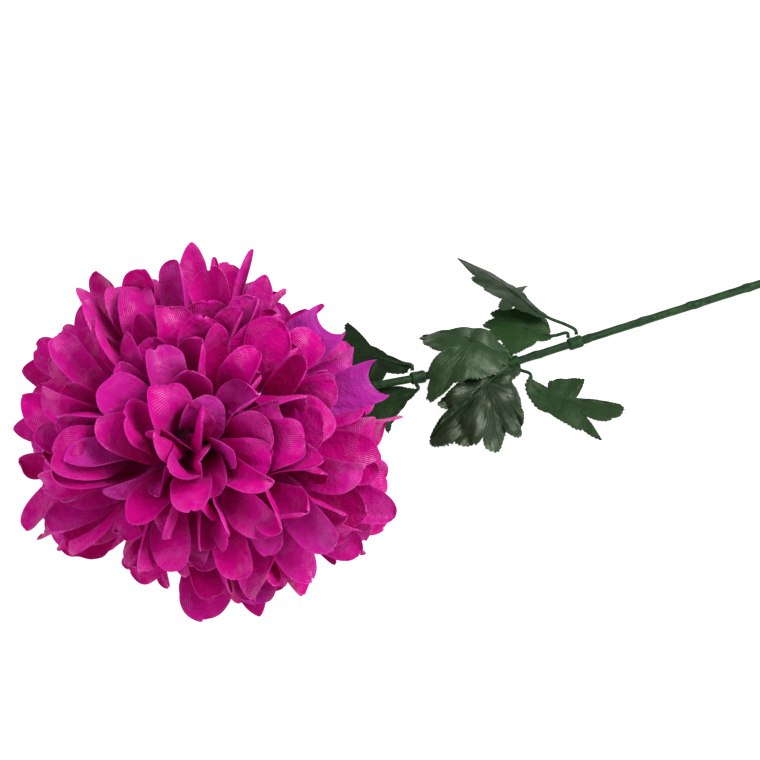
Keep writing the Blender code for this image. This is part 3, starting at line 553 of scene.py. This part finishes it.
def skin(rings, close=False):
    """Quads between rings of points, and a cap on each end unless the last ring meets the first."""
    points = rings.reshape(-1, 3)
    index = np.arange(len(points)).reshape(rings.shape[:2]).tolist()
    faces = []
    for here, there in zip(index, index[1:] + index[:1] if close else index[1:]):
        faces += zip(here, here[1:] + here[:1], there[1:] + there[:1], there)
    return points, faces if close else [*faces, index[0][::-1], index[-1]], {}


def point_normals(points, triangles):
    corners = points[triangles]
    normals = np.cross(corners[:, 1] - corners[:, 0], corners[:, 2] - corners[:, 0])
    summed = np.zeros_like(points)
    for k in range(3):
        np.add.at(summed, triangles[:, k], normals)
    return units(summed)


def blade_solid(middle, triangles, half_thickness, attributes):
    """A sheet of triangles made thick, down to a sharp rim, and its points' attributes."""
    offset = point_normals(middle, triangles) * half_thickness
    sides = np.sort(np.concatenate([triangles[:, pair] for pair in ([0, 1], [1, 2], [2, 0])]), axis=1)
    edges, uses = np.unique(sides, axis=0, return_counts=True)
    inner = np.ones(len(middle), bool)
    inner[edges[uses == 1]] = False
    points = np.concatenate([middle + offset * inner[:, None], (middle - offset)[inner]])
    points[:, 2] = np.maximum(points[:, 2], 0)
    index = np.arange(len(middle))
    index[inner] = len(middle) + np.arange(inner.sum())
    both = {key: np.concatenate([values, values[inner]]) for key, values in attributes.items()}
    return points, np.concatenate([triangles, index[triangles][:, ::-1]]), both


# Bloom

def drawn_petal(k, draw):
    """Shape values for petal number k, counted from the pole outwards."""
    top, bottom = cos(radians(FIRST_POLAR)), cos(radians(LAST_POLAR))
    share = ((k + 0.5) / PETAL_COUNT) ** CROWDING
    polar = acos(top + (bottom - top) * share) + draw.angle(-9, 9)
    inner = 1 - ramp(*np.radians(INNER_FADE), polar)
    back = ramp(*np.radians(BACK_FADE), polar)
    azimuth = k * GOLDEN_ANGLE + draw.angle(-15, 15)
    side = sum(more * max(0, cos(azimuth - radians(middle))) ** 8 for middle, more in SIDES)
    petal = {
        "polar": min(abs(polar), radians(LAST_POLAR)),
        "azimuth": azimuth,
        "length": PETAL_LENGTH * (draw.uniform(0.82, 1.1) + side * (1 - inner) - 0.1 * inner - 0.08 * back),
        "width": PETAL_WIDTH * (draw.uniform(0.76, 1.16) - 0.08 * inner),
        "lead": draw.angle(0, 26),
        "lag": radians(draw.uniform(-15, 42) - 14 * back),
        "cup": draw.uniform(0.25, 1.1),
        "spoon": draw.angle(-75, 35),
        "twist": radians(draw.gauss(0, 34)),
        "lean": radians(draw.gauss(0, 22)),
        "point": draw.uniform(0.3, 0.46) if draw.random() < 0.85 else draw.uniform(0.55, 0.75),
        "shoulders": (draw.uniform(0.13, 0.3), draw.uniform(0.13, 0.3)),
    }
    kind = draw.random()
    if kind < INCURVED_SHARE:
        petal["lag"] = draw.angle(-60, -25)
        petal["cup"] = draw.uniform(0.8, 1.3)
    elif kind < INCURVED_SHARE + EDGE_ON_SHARE:
        petal["twist"] = radians(draw.choice((-1, 1)) * draw.uniform(50, 80))
        petal["cup"] = draw.uniform(1.0, 1.5)
    return petal


def stray_petals(draw):
    """The petals whose places are listed, with the same shape values as the drawn ones."""
    found = []
    for kind, polar, azimuth, length, width, lean in STRAY_PETALS:
        creased = kind in (CREASED, TORN)
        found.append({
            "polar": radians(polar), "azimuth": radians(azimuth),
            "length": length * MM, "width": width * MM,
            "lead": draw.angle(2, 8), "lag": draw.angle(0, 10),
            "cup": 1.35 if kind == ROLLED else 0.5,
            "spoon": radians(-15 if creased else draw.uniform(-8, 12)),
            "twist": radians(draw.gauss(0, 14)),
            "lean": radians(lean + draw.uniform(-8, 8)),
            "point": {CREASED: 0.35, TORN: 0.9, ROLLED: 0.4, LONG: 0.7 if width < 17 else 0.42}[kind],
            "shoulders": {CREASED: (0.06, 0.14), TORN: (0.2, 0.3)}.get(kind, (0.26, 0.26)),
            "lilac": 1 if creased else 0.2,
            "torn": TORN_DEPTH if creased else 0,
        })
    return found


def settled_petals():
    """The stray petals, and then the rest from the pole outwards, chosen as in the solids."""
    draw = Draw(BLOOM_SEED)
    triangles = grid_triangles(PETAL_STATIONS.size, PETAL_COLUMNS.size).tolist()
    guards = neck_guards()
    points, faces, settled = [], [], []
    strays = stray_petals(draw)
    for k in range(-len(strays), PETAL_COUNT):
        others = BVHTree.FromPolygons(points, faces) if faces else None
        best = None
        for _ in range(PETAL_TRIES):
            petal = strays[k] if k < 0 else drawn_petal(k, draw)
            middle = petal_middle(petal, PETAL_STATIONS, PETAL_COLUMNS).reshape(-1, 3).tolist()
            blade = BVHTree.FromPolygons(middle, triangles)
            if any(blade.overlap(guard) for guard in guards):
                continue
            crossings = len(blade.overlap(others)) if others else 0
            if best is None or crossings < best[0]:
                best = (crossings, petal, middle)
            if k < 0 or not crossings:
                break
        if best:
            settled.append(best[1])
            faces += [[i + len(points) for i in triangle] for triangle in triangles]
            points += best[2]
    return settled


def neck_guards():
    """A coarse tube and a cone that leave room round the bent part of the stem and the calyx."""
    path, _ = stem_path()
    near = path[path[:, 0] < SLEEVES["sleeve_neck"][0]]
    ends = BLOOM_CENTRE - np.outer((CORE_RADIUS, CALYX_END + 2 * MM), POLE)
    rim = CORE_RADIUS * sin(radians(CALYX_RIM_ANGLE)) + CALYX_WALL + PETAL_THICKNESS
    stem = tube(near, np.full(len(near), STEM_RADIUS + PETAL_THICKNESS + GAP), 6)
    cone = tube(ends, (rim, CALYX_NECK_RADIUS + PETAL_THICKNESS), 12, X)
    return [BVHTree.FromPolygons(points.tolist(), faces) for points, faces, _ in map(skin, (stem, cone))]


def petal_middle(petal, stations, columns, edge=1.0, torn=0.0):
    """The petal's middle surface as a grid of points, with its half width scaled by edge.

    Torn is how deep the end is cut in between two corners, as a share of the petal's length.
    """
    u = stations * (1 - torn * (1 - columns**2))
    steps = np.linspace(0, 1, 41)
    bend = petal["polar"] - petal["lead"] + (petal["lead"] + petal["lag"]) * steps**1.4
    bend -= petal["spoon"] * ramp(0.7, 1.0, steps)
    out, side = turned(X, Y, petal["azimuth"])
    tangent, away = turned(Z, out, bend[:, None])
    heading, swung = turned(tangent, side, (petal["lean"] * steps)[:, None])
    root = PETAL_ROOT_RADIUS * turned(Z, out, petal["polar"])[0]
    steps_out = np.cumsum((heading[1:] + heading[:-1]) / 2, axis=0) / (len(steps) - 1)
    spine = root + petal["length"] * np.concatenate([np.zeros((1, 3)), steps_out])
    across, inward = turned(swung, -away, (petal["twist"] * ramp(0.1, 0.8, steps))[:, None])
    half_width = petal_half_width(petal, u, columns, 0.5 if torn else 1) * edge
    cup = petal["cup"] * ramp(0.0, 0.5, u) + 0.05
    sideways = (half_width * np.sin(cup * columns) / cup)[..., None] * read_off(u, steps, across)
    lift = (half_width * (1 - np.cos(cup * columns)) / cup)[..., None] * read_off(u, steps, inward)
    local = read_off(u, steps, spine) + sideways + lift
    return on_table(local @ BLOOM_AXES + BLOOM_CENTRE)


def petal_half_width(petal, u, v, rounding=1):
    """Half the petal's width, with a shoulder on each side where its rounded end begins."""
    claw = 0.24 + 0.76 * ramp(0.15, 0.74, u)
    left, right = petal["shoulders"]
    end = right + (left - right) * (1 - v) / 2
    tip = np.clip((u - 1 + end) / end, 0, 1) * rounding
    return petal["width"] / 2 * claw * (1 - tip**2) ** petal["point"]


def on_table(points):
    """Points that would sink into the table bend smoothly away from it and end just above it."""
    room = (points[..., 2] - TABLE_CLEARANCE) / TABLE_SOFTNESS
    eased = np.where(room < 1, np.exp(np.minimum(room, 1) - 1), room)
    moved = points.copy()
    moved[..., 2] = TABLE_CLEARANCE + eased * TABLE_SOFTNESS
    return moved


def cut_edge(draw):
    """Each point's share of the half width: cut edges waver, differently on each side."""
    stray = np.zeros(CLOTH_SHAPE)
    for side in (-1, 1):
        wave = sum(size * draw.uniform(-1, 1) * np.sin(turns * ALONG + draw.phase())
                   for size, turns in EDGE_WAVES)
        stray += np.where(ACROSS * side > 0, wave, 0)
    return FULLNESS + stray


def pressed_relief(draw, petal):
    """Height of folds, fluttering sides and wrinkles over a petal's middle surface."""
    relief = np.zeros(CLOTH_SHAPE)
    for _ in range(draw.choice((1, 2, 3, 4))):
        place, slope = draw.uniform(-0.65, 0.65), draw.uniform(-0.5, 0.5)
        width = draw.uniform(0.07, 0.2)
        height = draw.choice((-1, 1)) * draw.uniform(0.2, 0.9) * MM
        ends = ramp(0.1, 0.4, ALONG) * (1 - ramp(draw.uniform(0.75, 0.95), 1.05, ALONG))
        relief += height * ends * np.exp(-np.abs(ACROSS - place - slope * (ALONG - 0.6)) / width)
    for side in (-1, 1):
        flutter = np.sin(draw.uniform(5, 11) * ALONG + draw.phase()) * draw.uniform(0.2, 1.3) * MM
        relief += flutter * np.clip(ACROSS * side, 0, 1) ** 1.6 * ramp(0.3, 0.7, ALONG)
    for size, turns in WRINKLES:
        along, aside = draw.uniform(0.6, 1.2) * turns, draw.uniform(-0.5, 0.5) * turns
        height = size * MM * draw.uniform(0.4, 1)
        relief += height * np.sin(along * ALONG + aside * ACROSS + draw.phase())
    return relief * np.minimum(1, petal["width"] / PETAL_WIDTH)


def cloth_petal(petal, k, triangles):
    """A petal as thin cloth: its closed mesh, and where each point lies on the cloth."""
    draw = Draw(CLOTH_SEED + k)
    torn = petal.get("torn", 0)
    middle = petal_middle(petal, ALONG, ACROSS, cut_edge(draw), torn).reshape(-1, 3)
    relief = pressed_relief(draw, petal).ravel()[:, None]
    middle = on_table(middle + point_normals(middle, triangles) * relief)
    half_width = petal_half_width(petal, ALONG, ACROSS)
    across = half_width * ACROSS
    along = np.broadcast_to(ALONG * petal["length"], CLOTH_SHAPE)
    bias = radians(draw.choice((0, 0, 90, 90, 35, -35)) + draw.uniform(-12, 12))
    threads = np.stack([*turned(across, along, bias), np.full(CLOTH_SHAPE, 0.05 * k)], axis=-1) / MM
    to_cut = np.minimum(half_width * (1 - np.abs(ACROSS)), (1 - ALONG) * petal["length"])
    attributes = {
        "cloth": threads.reshape(-1, 3),
        "tone": np.full(len(middle), draw.random()),
        "lilac": np.full(len(middle), petal.get("lilac", 0.5 * draw.random() ** 4)),
        # Share of the painted sheen, growing towards the petal's tip.
        "pale": np.repeat(ramp(0.45, 1.0, ALONG) * draw.uniform(0.2, 1.1), ACROSS.size),
        "edge": np.clip(1 - to_cut / EDGE_BAND, 0, 1).ravel(),
    }
    return blade_solid(middle, triangles, CLOTH_THICKNESS / 2, attributes)


def joined(parts):
    """Several closed meshes with the same attributes as one."""
    points, faces, attributes = zip(*parts)
    starts = np.cumsum([0, *map(len, points[:-1])])
    faces = np.concatenate([some + start for some, start in zip(faces, starts)])
    together = {key: np.concatenate([each[key] for each in attributes]) for key in attributes[0]}
    return np.concatenate(points), faces, together


def make_bloom():
    triangles = grid_triangles(*CLOTH_SHAPE)
    petals = [cloth_petal(petal, k, triangles) for k, petal in enumerate(settled_petals())]
    cloth = petal_cloth()
    half = len(petals) // 2
    for name, some in (("petals_inner", petals[:half]), ("petals_outer", petals[half:])):
        new_piece(name, joined(some), cloth, "bloom")
    ball = bmesh.new()
    bmesh.ops.create_icosphere(ball, subdivisions=5, radius=CORE_RADIUS * 0.97)
    points = np.array([vertex.co for vertex in ball.verts]) + BLOOM_CENTRE
    faces = [[vertex.index for vertex in face.verts] for face in ball.faces]
    ball.free()
    # The core's cloth is painted near black, as shade between the petals' roots.
    new_piece("bloom_core", (points, faces, {}), painted_shade_core_cloth(), "bloom")


# Stem, sleeves and calyx

def bezier(start, start_handle, end_handle, end, count):
    t = np.linspace(0, 1, count)[:, None]
    s = 1 - t
    return s**3 * start + 3 * s * s * t * start_handle + 3 * s * t * t * end_handle + t**3 * end


def stem_path(neck_points=13, middle_points=7):
    """The stem's middle line from the calyx to the cut end, and the number of its points that are bent."""
    socket = BLOOM_CENTRE - POLE * (CALYX_END - SOCKET_DEPTH + GAP)
    leaves_cup = BLOOM_CENTRE - POLE * (CALYX_END + 5 * MM)
    neck, middle, _ = SLEEVES.values()
    first = bezier(leaves_cup, leaves_cup - POLE * 25 * MM, neck - NECK_PULL * 1.1, neck, neck_points)
    second = bezier(neck, neck + NECK_PULL * 0.5, middle - MIDDLE_PULL, middle, middle_points)
    bent = np.concatenate([[socket], first, second[1:]])
    end = np.array([STEM_END_X, middle[1], STEM_END_RADIUS])
    return np.concatenate([bent, [end]]), len(bent)


def make_stem(plastic):
    """The moulded coat, with slanted knots and an uneven skin, and the wire that shows at its end."""
    path, bent = stem_path(60, 30)
    start, end = path[bent - 1], path[-1]
    length = np.linalg.norm(end - start)
    beyond = np.arange(1 * MM, length, 1 * MM)
    fine = np.concatenate([path[:bent], start + (end - start) * (beyond / length)[:, None], [end]])
    run = distances(fine)[:, None]
    run -= run[bent - 1]
    turn = even_turn(STEM_SIDES)[None]
    radius = STEM_RADIUS + (STEM_END_RADIUS - STEM_RADIUS) * np.clip(run / length, 0, 1)
    swell = np.zeros((len(fine), STEM_SIDES))
    spacing, draw = Draw(STEM_SEED), Draw(STEM_SEED + 1)
    place = KNOT_MARGIN
    while place < length - KNOT_MARGIN:
        slant = KNOT_SLANT * np.cos(turn - draw.phase())
        behind = (run - place - slant) * draw.choice((-1, 1))
        knot = np.exp(-((behind / np.where(behind < 0, KNOT_STEEP, KNOT_GENTLE)) ** 2))
        swell += knot * draw.uniform(0.8, 1.3)
        place += spacing.uniform(*KNOT_SPACING)
    for size, waves in COAT_WAVES:
        pitch = draw.uniform(7, 16) * MM
        swell += size / KNOT_SWELL * np.sin(run / pitch * 2 * pi + turn * waves + draw.phase())
    rings = tube(fine, radius * (1 + KNOT_SWELL * swell), STEM_SIDES)
    rings[..., 2] = np.maximum(rings[..., 2], STEM_CLEARANCE)
    bore = tube(fine, np.full(len(fine), STEM_BORE_RADIUS), STEM_SIDES)
    coat = skin(np.concatenate([rings, bore[::-1]]), close=True)
    new_piece("stem_coat", coat, plastic, "stem")

    cut = end + np.array((WIRE_SHOWS, 0, 0))
    wire_path = np.concatenate([fine[:-1], [cut - (WIRE_BEVEL, 0, 0), cut]])
    radii = np.full(len(wire_path), WIRE_RADIUS)
    radii[-1] -= WIRE_BEVEL
    wire = skin(tube(wire_path, radii, WIRE_SIDES))
    new_piece("stem_core_wire", wire, wire_steel(), "stem_wire")


def sleeve_axes(name):
    """Directions along the stem, to its left and up from it, at a sleeve."""
    path, bent = stem_path()
    nearest = np.argmin(np.linalg.norm(path[:bent] - SLEEVES[name], axis=1))
    along = unit(path[nearest + 1] - path[nearest - 1] if nearest < bent - 1 else path[-1] - path[nearest])
    left = unit(np.cross(Z, along))
    return along, left, np.cross(along, left)


def make_sleeve(name, plastic):
    """A ring round the stem with rounded lips and a shallow waist."""
    along, _, _ = sleeve_axes(name)
    places = SLEEVES[name] + along * (SLEEVE_STATIONS * (SLEEVE_LENGTH / 2))[:, None]
    outside = tube(places, SLEEVE_RADIUS - SLEEVE_INSETS, SLEEVE_SIDES)
    inside = tube(places[[0, -1]], np.full(2, SLEEVE_BORE), SLEEVE_SIDES)[::-1]
    ring = skin(np.concatenate([outside, inside]), close=True)
    new_piece(name + "_ring", ring, plastic, name)


def rounded(profile, steps=6):
    """A smooth line through a profile's points."""
    knots = np.array(profile)
    padded = np.concatenate([[2 * knots[0] - knots[1]], knots, [2 * knots[-1] - knots[-2]]])
    t = (np.arange(steps) / steps)[:, None]
    found = []
    for a, b, c, d in zip(padded, padded[1:], padded[2:], padded[3:]):
        square, cube = 2 * a - 5 * b + 4 * c - d, 3 * b - a - 3 * c + d
        found.append(0.5 * (2 * b + (c - a) * t + square * t**2 + cube * t**3))
    return np.concatenate(found + [knots[-1:]])


def make_calyx(plastic):
    """A ribbed cup turned about the pole, hollow for the core and with a blind socket for the stem."""
    inner = CORE_RADIUS + GAP
    outer = inner + CALYX_WALL
    rim = radians(CALYX_RIM_ANGLE)
    angles = np.linspace(0.02, rim, 12)
    cup = np.stack([inner * np.sin(angles), inner * np.cos(angles)], axis=1)
    edge = outer * sin(rim)
    back = rounded([(edge, outer * cos(rim)), (edge + 0.6 * MM, outer * 0.98),
                    CALYX_WAIST, CALYX_NECK, (CALYX_NECK_RADIUS, CALYX_END)])
    hole, bottom = STEM_RADIUS + GAP, CALYX_END - SOCKET_DEPTH
    profile = np.concatenate([cup, back, [(hole, CALYX_END), (hole, bottom), (0.1 * MM, bottom)]])
    ribbed = np.zeros(len(profile))
    ribbed[len(cup) + 1:len(cup) + len(back) - 1] = 1
    turn = even_turn(CALYX_SIDES)
    rib = np.maximum(0, -np.cos(CALYX_RIBS * turn)) ** 1.5
    reach = profile[:, :1] * (1 + CALYX_RIB_SWELL * ribbed[:, None] * rib[None])
    spokes, _ = turned(BLOOM_AXES[0], BLOOM_AXES[1], turn[:, None])
    rings = (BLOOM_CENTRE - POLE * profile[:, 1:])[:, None] + spokes[None] * reach[..., None]
    new_piece("calyx_cup", skin(rings), plastic, "calyx")


# Leaves

def midrib_curve(leaf, count=81):
    """Evenly spaced points on a smooth curve along the stalk and midrib, and the blade's centre on it.

    Two points ahead of the midrib's own start the stalk square to its sleeve.
    """
    sleeve, offset, angle = leaf["seat"]
    along, left, upward = sleeve_axes(sleeve)
    outward, _ = turned(left, upward, radians(angle))
    foot = SLEEVES[sleeve] + along * offset * MM
    start = [foot + outward * (SLEEVE_RADIUS + GAP), foot + outward * (SLEEVE_RADIUS + GAP + STALK_START)]
    steps = 20
    fine = rounded(np.concatenate([start, np.array(leaf["midrib"]) * MM]), steps)
    length = distances(fine)
    even = np.linspace(0, length[-1], count)
    return read_off(even, length, fine), even, length[(leaf["centre"] + len(start)) * steps]


def edge_reach(leaf, angles):
    """Distance from the leaf's centre to its edge in each direction, nearly straight between corners."""
    corners = np.array(leaf["corners"] + leaf["corners"][:1], float)
    corners[-1, 0] += 360
    angles = (angles - corners[0, 0]) % 360 + corners[0, 0]
    here = np.clip(np.searchsorted(corners[:, 0], angles, side="right") - 1, 0, len(corners) - 2)
    start, near = corners[here].T
    end, far = corners[here + 1].T
    on, left = np.radians(angles - start), np.radians(end - angles)
    straight = near * far * np.sin(on + left) / (near * np.sin(on) + far * np.sin(left))
    return MM * straight * (1 + EDGE_BULGE * np.sin(pi * on / (on + left)))


def toothed_outline(leaf):
    """Points evenly spaced round the leaf, and the step that cuts small teeth into its outer parts."""
    angles = np.arange(0, 360, 0.05)
    reach = edge_reach(leaf, angles)
    fine = np.stack([reach * np.cos(np.radians(angles)), reach * np.sin(np.radians(angles))], axis=1)
    looped = np.concatenate([fine, fine[:1]])
    run = distances(looped)
    even = np.arange(LEAF_EDGE_POINTS) * run[-1] / LEAF_EDGE_POINTS
    edge = read_off(even, run, looped)
    ahead = np.roll(edge, -1, axis=0) - np.roll(edge, 1, axis=0)
    outward = units(np.stack([ahead[:, 1], -ahead[:, 0]], axis=1))
    teeth = round(run[-1] / TOOTH_PITCH)
    phase = even / run[-1] * teeth + 0.25 * np.sin(even / (7 * MM))
    notch = (1 - np.abs(np.sin(pi * phase))) ** 1.5
    far = ramp(9 * MM, 16 * MM, np.hypot(edge[:, 0], edge[:, 1]))
    return edge, -outward * (TOOTH_DEPTH * notch * far)[:, None]


def lobe_tips(leaf):
    """The corners that reach out past both their neighbours: the main veins run to them."""
    corners = leaf["corners"]
    tips = []
    for before, corner, after in zip(corners[-1:] + corners[:-1], corners, corners[1:] + corners[:1]):
        if corner[1] > max(before[1], after[1], LOBE_REACH) and abs(corner[0]) < LOBE_ANGLE:
            tips.append(corner)
    return tips


def vein_pattern(leaf, flat):
    """How strongly a main or a side vein marks each flat point, from 0 to 1."""
    strength = np.zeros(len(flat))
    x, y = flat.T
    direction, reach = np.degrees(np.arctan2(y, x)), np.hypot(x, y)
    tips = lobe_tips(leaf)
    gaps = np.stack([np.abs((direction - angle + 180) % 360 - 180) for angle, _ in tips], axis=1)
    nearest = np.argmin(gaps, axis=1)
    for number, (angle, length) in enumerate(tips):
        away = np.radians(direction - angle)
        ahead, aside = reach * np.cos(away), reach * np.sin(away)
        taper = np.clip(1 - ahead / (length * MM), 0, 1) ** 0.5 * (ahead > 0)
        main = np.exp(-((aside / (VEIN_HALF_WIDTH * (0.5 + 0.5 * taper))) ** 2)) * taper
        phase = (ahead - SIDE_VEIN_SLOPE * np.abs(aside)) / SIDE_VEIN_PITCH + (aside > 0) * 0.5
        off_line = np.abs(phase - np.round(phase)) * SIDE_VEIN_PITCH / 1.5
        fade = np.clip(1 - np.abs(aside) / (0.4 * length * MM), 0, 1) * np.clip(ahead / (5 * MM), 0, 1)
        branch = SIDE_VEIN_STRENGTH * np.exp(-((off_line / (0.6 * VEIN_HALF_WIDTH)) ** 2)) * fade
        strength = np.maximum(strength, np.where(nearest == number, np.maximum(main, branch), 0))
    return strength


def crumpled(flat, draw):
    """Height of dents between pinched creases that cross over the flat leaf."""
    height = np.zeros(len(flat))
    x, y = flat.T
    for size, pitch in DENTS:
        heading = draw.uniform(0, pi)
        dents = []
        for turn in (heading, heading + draw.uniform(1.0, 1.8)):
            place = (x * cos(turn) + y * sin(turn)) / (pitch * MM)
            bow = 0.5 * np.sin(x / (pitch * 0.8 * MM) + draw.phase())
            dents.append(np.abs(np.sin(pi * place + bow + draw.uniform(0, 3.1))))
        height += size * MM * (np.minimum(*dents) - 0.35)
    return height


def cloth_leaf(name, leaf, curve, even, centre):
    """The leaf's blade as thin closed cloth, with veins, teeth and crumples."""
    edge, tooth = toothed_outline(leaf)
    flat = np.concatenate([np.zeros((1, 2)), *(edge * share + tooth * share**10 for share in LEAF_SHARES)])
    count = len(edge)
    rings = np.arange(1, len(flat)).reshape(-1, count)
    triangles = [(0, *pair) for pair in zip(rings[0], np.roll(rings[0], -1))]
    for low, high in zip(rings, rings[1:]):
        for a, b, c, d in zip(low, high, np.roll(high, -1), np.roll(low, -1)):
            triangles += [(a, b, c), (a, c, d)]
    triangles = np.array(triangles)
    middle = bent_leaf(leaf, flat, curve, even, centre)
    veins = vein_pattern(leaf, flat)
    dents = crumpled(flat, Draw(name)) * (leaf["wave"] * leaf["crumple"])
    middle = middle + point_normals(middle, triangles) * (veins * VEIN_HEIGHT + dents)[:, None]
    middle[:, 2] = np.maximum(middle[:, 2], LEAF_CLOTH_THICKNESS / 2)
    rim = np.repeat(np.clip((LEAF_SHARES - 0.95) / 0.05, 0, 1), count)
    attributes = {
        "cloth": np.concatenate([flat / MM, np.full((len(flat), 1), 3.0 * len(name))], axis=1),
        "tone": np.full(len(flat), leaf["tone"]),
        "gloss": np.full(len(flat), leaf["gloss"]),
        "vein": veins,
        "edge": np.concatenate([[0], rim]),
    }
    return blade_solid(middle, triangles, LEAF_CLOTH_THICKNESS / 2, attributes)


def bent_leaf(leaf, flat, curve, even, centre):
    """Lays flat points along the midrib, with the leaf's fold, curl, roll and wave."""
    x, y = flat.T
    place = centre + x
    tangent = read_off(place, even, np.gradient(curve, axis=0) / (even[1] - even[0]))
    beyond = (place - np.clip(place, even[0], even[-1]))[:, None]
    spine = read_off(place, even, curve) + tangent * beyond
    level = units(np.cross(Z, tangent))
    upward = units(np.cross(tangent, level))
    side, face = turned(level, upward, radians(leaf["roll"]))
    off = np.abs(y)
    fold, curl = [np.radians(np.where(y > 0, *leaf[key])) for key in ("fold", "curl")]
    curl = curl * np.minimum(off / LEAF_SPAN, 1.3)
    wave = np.sin(5 * np.arctan2(y, x) + sum(leaf["midrib"][0]))
    lift = off * np.sin(fold + curl / 2) + leaf["wave"] * MM * (np.hypot(x, y) / LEAF_SPAN) ** 2 * wave
    return spine + side * (y * np.cos(fold + curl / 2))[:, None] + face * lift[:, None]


def make_leaf(name, leaf, cloth, plastic):
    curve, even, centre = midrib_curve(leaf)
    new_piece(name + "_blade", cloth_leaf(name, leaf, curve, even, centre), cloth, name)
    end = centre + STALK_UNDER_BLADE
    along = np.linspace(0, end, 60)
    radii = STALK_RADIUS * np.interp(along, (0, 1.5 * MM, centre, end), (1.15, 1, 0.85, 0.35))
    stalk = skin(tube(read_off(along, even, curve), radii, STALK_SIDES))
    new_piece(name + "_stalk", stalk, plastic, name)


# Camera, floor and light

def camera_axes():
    right, ahead = turned(X, Y, radians(CAMERA_AZIMUTH))
    back, up = turned(-ahead, Z, radians(CAMERA_ELEVATION))
    return right, up, back


def make_camera():
    right, up, back = camera_axes()
    camera = bpy.data.cameras.new("camera")
    camera.lens = LENS
    camera.sensor_width = SENSOR_WIDTH
    camera.clip_start = 0.05
    focal = FRAME_PIXELS * LENS / SENSOR_WIDTH
    distance = focal / HEAD_SCALE
    off_right, off_down = (np.array(HEAD_PIXEL) - FRAME_PIXELS / 2) / focal * distance
    place = BLOOM_CENTRE + SHIFT - right * off_right + up * off_down + back * distance
    bpy.context.scene.camera = add_object("camera", camera, place, (right, up, back))


def make_lamp(name, steps, size, power):
    """A soft square lamp that looks at the bloom."""
    way = unit(sum(step * axis for step, axis in zip(steps, camera_axes())))
    lamp = bpy.data.lights.new(name, "AREA")
    lamp.size = size
    lamp.energy = power
    across = unit(np.cross(Z, way))
    add_object(name, lamp, BLOOM_CENTRE + SHIFT + way * LAMP_DISTANCE, (across, np.cross(way, across), way))


def make_studio():
    ends = (-FLOOR_REACH, FLOOR_REACH)
    mesh = bpy.data.meshes.new("floor")
    mesh.from_pydata([(x, y, 0) for y in ends for x in ends], [], [(0, 1, 3, 2)])
    mesh.materials.append(floor_paper())
    add_object("floor", mesh)
    world = bpy.data.worlds.new("studio")
    world.use_nodes = True
    background = world.node_tree.nodes["Background"]
    background.inputs["Color"].default_value = (1, 1, 1, 1)
    background.inputs["Strength"].default_value = WORLD_LIGHT
    bpy.context.scene.world = world
    for lamp in LAMPS:
        make_lamp(*lamp)
    bpy.context.scene.view_settings.view_transform = "Standard"


make_bloom()
green_plastic = stem_plastic()
make_calyx(green_plastic)
make_stem(green_plastic)
for sleeve in SLEEVES:
    make_sleeve(sleeve, green_plastic)
green_cloth = leaf_cloth()
for leaf_name, leaf_shape in LEAVES.items():
    make_leaf(leaf_name, {**LEAF_DEFAULTS, **leaf_shape}, green_cloth, green_plastic)
make_studio()
make_camera()
